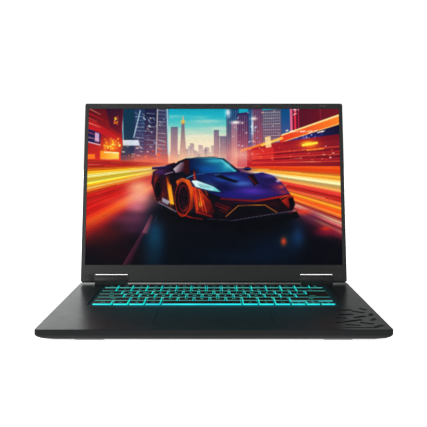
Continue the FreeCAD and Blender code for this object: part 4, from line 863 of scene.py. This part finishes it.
def paint_car(cv):
    """A low sports coupe of no particular make, three-quarter view, lit by the street."""
    cv.glows(
        (86, 71, 40, 3.5, (2, 3, 10), 0.95), (50, 67, 9, 4, (4, 6, 18), 0.9),
        (110, 76, 26, 5, (1, 4, 14), 0.9))
    cv.poly(
        [(48, 62), (62, 66), (80, 72), (112, 72), (132, 66), (134, 70), (108, 76), (70, 75), (50, 68)],
        (2, 4, 12), 0.9)
    # far flank and rear quarter
    cv.poly(
        [(41.5, 41), (48, 37.5), (55, 35), (64, 41), (66, 50), (58, 66), (50, 62), (43, 56), (40.5, 48)],
        (40, 12, 36), 1.0, (16, 6, 24), ((44, 36), (56, 62)))
    cv.glows(
        (43.6, 49, 1.4, 7, (190, 60, 34), 0.8), (46, 41, 4, 2, (90, 50, 120), 0.7),
        (49, 52, 3, 6, (70, 14, 30), 0.8), (46, 56, 4, 3, (150, 50, 30), 0.6))
    cv.poly(
        [(50.0, 44), (52.4, 45.6), (55.0, 62), (52.6, 61.4), (51, 52)], (226, 96, 10), 1.0,
        (250, 190, 50), ((50, 45), (53, 58)))
    cv.poly([(49.5, 43), (56, 41), (57, 47), (52.6, 49.5)], (14, 8, 24), 1.0)
    cv.glows((53, 58, 1.6, 5, (250, 140, 30), 0.7), (51, 46, 1.2, 3, (120, 40, 20), 0.7))
    cv.line((49, 42.6), (56, 40.6), 0.45, (180, 160, 200), 0.8)
    cv.poly([(47.5, 57.5), (52.6, 60), (51, 62), (47.6, 60)], (176, 176, 196), 0.8)
    cv.strokes(
        (45, 60.5, 56.5, 66.5, 0.5, (150, 150, 180), 0.8), (43, 58, 55, 65.5, 0.3, (200, 110, 70), 0.7))
    # cabin
    cv.poly(
        [(52, 39.0), (57.5, 34.2), (62, 32.4), (70, 31.5), (80, 31.3), (86.5, 32.4), (96.5, 40.4),
        (97, 43), (72, 45), (58, 44.5)], (8, 10, 28))
    cv.poly(
        [(64.5, 33.0), (72, 32.3), (80, 32.1), (85.6, 33.2), (95, 40.9), (84, 42), (64.8, 42.6)],
        (4, 24, 70), 1.0, (24, 120, 150), ((66, 40), (84, 34)))
    cv.glows(
        (76, 39.4, 8, 2.6, (8, 90, 160), 0.75), (81, 34, 6, 1.2, (80, 190, 200), 0.65),
        (88.5, 37.0, 2.4, 2.4, (120, 214, 220), 0.55), (67, 41, 3, 2, (4, 10, 40), 0.8))
    cv.poly([(83.4, 33.0), (85.4, 33.4), (94.4, 40.7), (92.4, 40.9)], (120, 206, 210), 0.6)
    cv.poly(
        [(54.4, 39.2), (59, 35.2), (61.4, 34.6), (61.4, 40.6), (56, 41.6)], (214, 196, 206), 0.85,
        (70, 30, 46), ((56, 38), (60.6, 40)))
    cv.poly([(61, 33.6), (64.2, 33.2), (64.6, 42.4), (61.6, 42.4)], (60, 10, 18))
    cv.strokes((53, 39.4, 62, 32.6, 0.5, (16, 16, 34)), (62, 32.2, 86, 32.0, 0.4, (110, 190, 200), 0.75))
    cv.poly([(40.8, 38.2), (50, 37.4), (53.5, 37.8), (52, 39), (41, 39.6)], (30, 22, 66))
    cv.line((41, 38.1), (50, 37.3), 0.35, (130, 104, 190), 0.8)
    # bonnet and wings, with soft reflections of the sky and of the street
    cv.poly(
        [(61, 49), (63, 45.4), (68, 42.6), (74, 42), (96, 40.8), (104, 42.2), (110, 41.2), (117, 43.2),
        (123, 48), (128, 55), (106, 59), (86, 57.8), (70, 53)], (12, 30, 84), 1.0, (50, 26, 100),
        ((68, 44), (122, 57)))
    cv.glows(
        (84, 51, 9, 3.0, (10, 16, 64), 0.8), (89, 45.4, 9, 2.0, (44, 110, 190), 0.75),
        (98, 48.6, 7, 1.8, (90, 150, 220), 0.6), (104, 53.4, 10, 2.4, (96, 62, 180), 0.75),
        (92, 55.6, 9, 2.2, (40, 30, 120), 0.8), (114, 46.5, 5, 1.8, (30, 24, 74), 0.8),
        (116, 43.8, 4.5, 0.9, (110, 100, 180), 0.6), (120, 51.0, 4, 2.4, (130, 40, 76), 0.7),
        (112, 51, 4, 1.6, (34, 20, 80), 0.6), (124, 54, 3, 1.4, (190, 60, 50), 0.6))
    cv.poly(
        [(61, 49), (63, 45.4), (68, 42.6), (74, 42.2), (80, 45.4), (77, 47.6), (66, 46.6)], (10, 12, 42),
        0.9, (20, 52, 116), ((62, 48), (80, 44)))
    cv.strokes(
        (62.6, 45.2, 68, 42.8, 0.45, (110, 180, 220), 0.8),
        (68, 42.8, 74, 42.2, 0.35, (80, 130, 190), 0.7))
    cv.poly([(79, 43.2), (84, 42.8), (96, 47.2), (93.6, 48.2), (86, 46.0)], (4, 6, 22), 0.9)
    cv.strokes(
        (80, 43.1, 84.4, 42.7, 0.3, (110, 170, 210), 0.7), (76, 44.4, 90, 53.4, 0.35, (6, 10, 44), 0.8),
        (97, 42.6, 119, 53, 0.35, (8, 10, 50), 0.8))
    cv.poly([(101, 43.2), (105, 42.6), (108.6, 48.6), (105.4, 50)], (16, 4, 16), 0.95)
    cv.strokes(
        (102, 44, 107, 49.4, 0.3, (190, 50, 56), 0.8), (106, 42.2, 111, 41.2, 0.4, (130, 140, 210), 0.8),
        (111, 41.2, 118, 43.4, 0.35, (190, 150, 190), 0.8))
    cv.glows((120.6, 46.8, 1.3, 0.9, (255, 230, 230), 0.7), (122.6, 50.6, 2.0, 1.2, (226, 90, 60), 0.7))
    # nose
    cv.poly(
        [(66, 50), (86, 57.8), (106, 59), (128, 55), (131, 62), (129.5, 66.0), (112, 69.0), (90, 71.2),
        (76, 70), (70, 64)], (10, 7, 20), 1.0, (24, 5, 18), ((80, 56), (128, 62)))
    cv.poly(
        [(84, 57.6), (106, 59.2), (128, 55.4), (128.3, 56.4), (106, 60.4), (84, 58.8)], (96, 10, 30), 0.9,
        (190, 44, 36), ((84, 58), (126, 56)))
    cv.glows(
        (96, 60.6, 12, 0.8, (60, 14, 60), 0.7), (88, 64.5, 4, 3, (70, 10, 20), 0.7),
        (117, 61.4, 5, 1.6, (60, 14, 24), 0.7))
    cv.poly([(90, 69.2), (96, 62.8), (112, 62.6), (119, 67.2)], (2, 3, 10))
    for a, b in (
            ((87.5, 69.6), (95.4, 62.6)), ((95.4, 62.6), (112, 62.2)), ((112, 62.2), (119.6, 66.9))):
        cv.line(a, b, 0.36, (206, 130, 50), 0.95)
    for k in range(4):
        cv.line(
            (94.5 - 1.3 * k, 64.2 + 1.5 * k), (113.6 + 1.6 * k, 63.8 + 1.1 * k), 0.2, (40, 40, 70), 0.7)
    cv.poly(
        [(122.5, 59.5), (127, 56.5), (130.0, 56.6), (127, 64.4)], (190, 50, 20), 0.9, (90, 10, 30),
        ((123, 60), (129, 62)))
    cv.poly([(126.6, 58), (130.0, 57.4), (131.2, 62), (128.2, 64.6)], (6, 3, 12))
    cv.strokes(
        (121.5, 58.4, 126, 56.2, 0.3, (236, 120, 40), 0.85),
        (76, 71.0, 92, 72.0, 0.3, (86, 82, 106), 0.8), (92, 72.0, 131, 65.6, 0.3, (120, 116, 140), 0.85))
    # left air intake and lamp
    cv.poly(
        [(66.5, 50.5), (72, 53), (78, 60), (80.6, 66.6), (78, 70), (68.6, 67.4)], (60, 6, 16), 1.0,
        (196, 50, 18), ((77, 67), (68.5, 56)))
    cv.glows(
        (71.4, 58.4, 2.4, 3.6, (240, 96, 24), 0.8), (71.6, 61.6, 1.2, 1.6, (255, 190, 50), 0.85),
        (75, 65, 2.6, 2.0, (150, 24, 20), 0.7), (70, 53.6, 2.4, 1.2, (90, 14, 20), 0.8))
    cv.sparkle(61, 26, (68, 56, 79, 68), [(255, 110, 40), (190, 40, 24), (40, 4, 14)], 2.6, 0.5, 0.85)
    cv.line((69, 66.6), (79, 69.6), 0.4, (190, 40, 34), 0.9)
    for x, y, reach, tone in (
            (80.5, 62, 8, (190, 36, 36)), (81, 60.6, 9, (150, 30, 36)), (83, 65.0, 6, (110, 20, 28))):
        cv.line((x, y), (x + reach, y + 0.42 * reach), 0.3, tone, 0.85)
    cv.poly(
        [(65.4, 46.4), (68.6, 45.8), (81.0, 50.4), (86.2, 54.6), (78, 53.8), (68.4, 51.2)], (10, 16, 44),
        1.0)
    cv.poly(
        [(66.0, 46.9), (68.8, 46.5), (80.0, 50.6), (84.6, 54.0), (77.4, 53.0), (68.6, 50.6)],
        (226, 248, 250), 1.0, (96, 190, 200), ((67, 47), (83, 54)))
    cv.poly([(69.6, 48.4), (76.4, 50.4), (79.0, 52.2), (71.4, 50.6)], (20, 90, 96), 0.7)
    cv.line((70.4, 49.2), (79.4, 52.4), 0.35, (226, 250, 250), 0.9)
    cv.spot(75, 50.0, 6.0, 2.4, (190, 250, 246), 0.25)
    # wheels and mirror
    cv.spot(45, 52.5, 2.4, 7.2, (6, 4, 12), 1.0, hard=True)
    cv.ring(45, 52.5, 2.0, 6.2, 0.84, (96, 22, 40), 0.7)
    cv.poly(
        [(56.2, 47), (60, 45.0), (64.6, 46.4), (67, 52), (67, 64), (62.4, 69)], (120, 34, 14), 1.0,
        (226, 104, 24), ((66, 64), (58, 48)))
    cv.glows((65.4, 54, 1.6, 4.4, (236, 96, 24), 0.75), (60, 46.4, 2.4, 1.0, (120, 60, 50), 0.6))
    cv.spot(60.4, 58.2, 4.9, 11.4, (7, 4, 12), 1.0, hard=True)
    cv.ring(60.4, 58.2, 4.9, 11.4, 0.93, (206, 60, 24), 0.85)
    cv.ring(60.9, 58.0, 3.4, 8.8, 0.86, (110, 20, 32), 0.85)
    for k in range(9):
        turn = 2 * math.pi * k / 9 + 0.3
        cv.line(
            (60.9, 58.0), (60.9 + 3.1 * math.cos(turn), 58.0 + 8.0 * math.sin(turn)), 0.4, (70, 24, 50),
            0.85)
    cv.spot(60.9, 58.0, 0.8, 2.0, (24, 8, 22), 1.0, hard=True)
    cv.glows((58.4, 50, 1.6, 3, (90, 20, 30), 0.6), (62.5, 65, 1.6, 2.4, (150, 40, 24), 0.5))
    cv.strokes(
        (58, 67.3, 66, 70.2, 0.5, (206, 40, 28), 0.9), (66, 70.2, 73, 71.2, 0.4, (170, 30, 36), 0.85))
    cv.spot(101.2, 39.2, 2.5, 1.2, (14, 14, 50), 1.0, hard=True)
    cv.line((99.2, 38.8), (103.4, 38.8), 0.35, (80, 100, 180), 0.8)


def paint_display(columns, rows):
    """The picture that the display shows: a city at dusk and a car at speed."""
    cv = Canvas(columns, rows, 3)
    paint_sky(cv)
    paint_skyline(cv)
    paint_left(cv)
    paint_right(cv)
    paint_ground(cv)
    rand = np.random.RandomState(7)
    for _ in range(60):
        side = 1 if rand.rand() < 0.5 else -1
        reach = 22 + rand.rand() * 70
        x = VANISH[0] + side * reach
        y = VANISH[1] - 6 + rand.rand() * (8 + reach * 0.35)
        tone = ((255, 240, 190), (255, 170, 90), (255, 110, 80))[rand.randint(3)]
        cv.line((x, y), towards((x, y), 0.10 + 0.12 * rand.rand()), 0.18 + 0.3 * rand.rand(),
                tone, 0.45, 0.3)
    paint_car(cv)
    picture = share(cv.shrink())
    brush = rand.rand(rows, columns, 1)
    brush = (brush + np.roll(brush, 1, 1) + np.roll(brush, 2, 1)) / 3
    contrast = picture * picture * (3 - 2 * picture)
    picture = picture * 0.6 + contrast * 0.4
    return share(picture * (0.95 + 0.10 * brush))


# the lit slab's thickness, and the tone of its edge
GLASS_LIFT = 0.12 * MM
BACK_TONE = 0.01


def screen_material():
    """A lit matte panel: the picture shines through a faint grain."""
    material = surface("lit_display", (0.0015, 0.0015, 0.002), (0.0025, 0.0025, 0.003), 0.45,
                       0.04, bump=0.05, specular=0.03, strength=1.0)
    tree = material.node_tree
    picture = add(tree, "Attribute")
    picture.attribute_name = "picture"
    tree.links.new(picture.outputs["Color"], shader_of(material).inputs["Emission Color"])
    return material


def screen_piece():
    """A thin lit slab on the panel: its front is a fine grid that carries the picture."""
    bezel = lid_points("display_bezel")
    panel = lid_points("display_panel")
    inner = bezel[np.abs(bezel[:, 0]) < panel[:, 0].max() - 0.5 * MM]
    x_high = inner[:, 0].max()
    middle = panel[:, 1].mean()
    y_high = inner[inner[:, 1] > middle][:, 1].min()
    y_low = inner[inner[:, 1] < middle][:, 1].max()
    level = panel[:, 2].max()
    columns, rows = GRID
    gx, gy = np.meshgrid(np.linspace(-x_high, x_high, columns), np.linspace(y_high, y_low, rows))
    front = np.stack([gx, gy, np.full_like(gx, level + GLASS_LIFT)], -1).reshape(-1, 3)
    index = np.arange(columns * rows).reshape(rows, columns)
    quads = np.stack([index[1:, :-1], index[1:, 1:], index[:-1, 1:], index[:-1, :-1]],
                     -1).reshape(-1, 4)
    rim = np.concatenate([index[-1, :], index[-2:0:-1, -1], index[0, ::-1], index[1:-1, 0]])
    back = front[rim].copy()
    back[:, 2] = level
    start = len(front)
    verts = np.concatenate([front, back])
    count = len(rim)
    faces = quads.tolist()
    for i in range(count):
        j = (i + 1) % count
        faces.append((int(rim[j]), int(rim[i]), start + i, start + j))
    faces.append(tuple(start + i for i in reversed(range(count))))
    mesh = bpy.data.meshes.new("display_picture")
    mesh.from_pydata([LID_TURN @ Vector(v) for v in verts], [], faces)
    picture = paint_display(columns, rows).reshape(-1, 3)
    colours = np.full((len(verts), 4), BACK_TONE)
    colours[:, 3] = 1.0
    colours[:start, :3] = np.where(picture <= 0.04045, picture / 12.92,
                                   ((picture + 0.055) / 1.055)**2.4)
    layer = mesh.color_attributes.new("picture", "FLOAT_COLOR", "POINT")
    layer.data.foreach_set("color", colours.ravel())
    mesh.materials.append(screen_material())
    new_piece("display_picture", mesh, "lid")


LENS_SIDES = 40
LENS_RIM_RINGS = 3    # the outer bands, which are plastic
# the lens's rings: share of the opening's radius, and height over the module in millimetres
LENS_PROFILE = ((1.0, 0.0), (1.0, 0.22), (0.86, 0.30), (0.74, 0.18), (0.60, 0.16), (0.52, 0.24),
                (0.34, 0.32), (0.16, 0.36))
LENS_TIP = 0.37


def webcam_lens():
    """A ring, a cone of shade and a small domed glass in the opening over the display."""
    holes = lid_points("webcam_module")
    level = holes[:, 2].max()
    ring = holes[holes[:, 2] > level - 0.01 * MM]
    x, y = ring[:, 0].mean(), (ring[:, 1].min() + ring[:, 1].max()) / 2
    radius = (ring[:, 1].max() - ring[:, 1].min()) / 2
    turns = [2 * math.pi * k / LENS_SIDES for k in range(LENS_SIDES)]
    bm = bmesh.new()
    loops = [[bm.verts.new(LID_TURN @ Vector((x + radius * part * math.cos(turn),
                                              y + radius * part * math.sin(turn),
                                              level + rise * MM))) for turn in turns]
             for part, rise in LENS_PROFILE]
    tip = bm.verts.new(LID_TURN @ Vector((x, y, level + LENS_TIP * MM)))
    for index, (outer, inner) in enumerate(zip(loops, loops[1:])):
        skin(bm, outer, inner, 0 if index < LENS_RIM_RINGS else 1, smooth=True)
    for first, second in zip(loops[-1], loops[-1][1:] + loops[-1][:1]):
        face = bm.faces.new((first, second, tip))
        face.material_index = 1
        face.smooth = True
    cap(bm, loops[0], 0, down=True)
    bmesh.ops.recalc_face_normals(bm, faces=bm.faces)
    mesh = close_mesh(bm, "webcam_lens")
    mesh.materials.append(MATERIALS["socket_plastic"])
    mesh.materials.append(surface("lens_glass", (0.002, 0.003, 0.006), (0.004, 0.005, 0.010),
                                  0.08, 0.02, bump=0.02, coat=0.4))
    new_piece("webcam_lens", mesh, "lid")


screen_piece()
webcam_lens()

# ---------------------------------------------------------------- softened shells

for shell, amount in (("top_case", 0.25), ("bottom_cover", 0.3), ("lid_back_cover", 0.3),
                      ("display_bezel", 0.3), ("touchpad", 0.25), ("front_feet", 0.3),
                      ("rear_foot", 0.3), ("hinge_cover_left", 0.3),
                      ("hinge_cover_right", 0.3)):
    soften(shell, amount)

# ---------------------------------------------------------------- stage, light, camera

FLOOR_REACH = 6.0
FLOOR_STEPS = 12
CAMERA_LENS = 59.9
CAMERA_SHIFT = -0.00075
CAMERA_PLACE = (0.0, FRONT - 0.697, 0.1937)
CAMERA_DROP = 5.17    # degrees that it looks down
PANEL_SIZE = (0.5, 0.35)
PANEL_POWER = 2.6
PANEL_PLACE = (-0.62, FRONT - 0.55, 0.42)
PANEL_AIM = (-0.05, 0.0, 0.08)
BACKDROP = 1.05


def build_floor():
    spread = [FLOOR_REACH * (2 * i / FLOOR_STEPS - 1) for i in range(FLOOR_STEPS + 1)]
    bm = bmesh.new()
    rows = [[bm.verts.new((x, y, 0.0)) for x in spread] for y in spread]
    for near, far in zip(rows, rows[1:]):
        for i in range(FLOOR_STEPS):
            bm.faces.new((near[i], near[i + 1], far[i + 1], far[i]))
    mesh = close_mesh(bm, "studio_floor")
    floor = bpy.data.objects.new("studio_floor", mesh)
    bpy.context.scene.collection.objects.link(floor)
    mesh.materials.append(surface("studio_floor", (0.80, 0.80, 0.80), (0.84, 0.84, 0.84), 0.85,
                                  grain=300.0, bump=0.02, specular=0.1, strength=0.92))


def build_world():
    """White studio, strongest at the left, with a bright band at eye level and a dim dome.
    The backdrop itself is plain white from every side."""
    world = bpy.data.worlds.new("studio")
    bpy.context.scene.world = world
    world.use_nodes = True
    tree = world.node_tree
    along, back, up = axes(tree, "TexCoord", "Generated")
    behind = remap(tree, back, -0.2, 0.4)
    band = remap(tree, up, 0.205, 0.27, 1.0, 0.0)

    def half(left, right, band_light, dome_light):
        """Light from the front or the rear half: its ends' strengths in the band and over it."""
        in_band = remap(tree, along, left, right, *band_light)
        above = remap(tree, along, left, right, *dome_light)
        return plus(tree, unless(tree, above, band), times(tree, in_band, band))

    rear = half(-0.6, 0.1, (6.4, 1.05), (4.2, 0.30))
    front = half(-0.7, 0.7, (0.85, 0.30), (1.10, 0.32))
    lit = plus(tree, unless(tree, front, behind), times(tree, rear, behind))
    seen = add(tree, "LightPath").outputs["Is Camera Ray"]
    ground = tree.nodes["Background"].inputs
    ground["Color"].default_value = (1.0, 1.0, 1.0, 1.0)
    tree.links.new(plus(tree, times(tree, seen, BACKDROP), unless(tree, lit, seen)),
                   ground["Strength"])


def build_key_light():
    """A soft panel ahead on the left, so the bezel and the front wall fade to the right."""
    panel = bpy.data.lights.new("key_panel", "AREA")
    panel.shape = "RECTANGLE"
    panel.size, panel.size_y = PANEL_SIZE
    panel.energy = PANEL_POWER
    holder = bpy.data.objects.new("key_panel", panel)
    bpy.context.scene.collection.objects.link(holder)
    holder.location = PANEL_PLACE
    aim = Vector(PANEL_AIM) - holder.location
    holder.rotation_euler = aim.to_track_quat("-Z", "Y").to_euler()


def build_camera():
    data = bpy.data.cameras.new("camera")
    data.lens = CAMERA_LENS
    data.sensor_width = 36.0
    data.shift_x = CAMERA_SHIFT
    camera = bpy.data.objects.new("camera", data)
    bpy.context.scene.collection.objects.link(camera)
    camera.location = CAMERA_PLACE
    camera.rotation_euler = (math.radians(90 - CAMERA_DROP), 0.0, 0.0)
    bpy.context.scene.camera = camera


build_floor()
build_world()
build_key_light()
build_camera()
bpy.context.scene.view_settings.view_transform = "Standard"
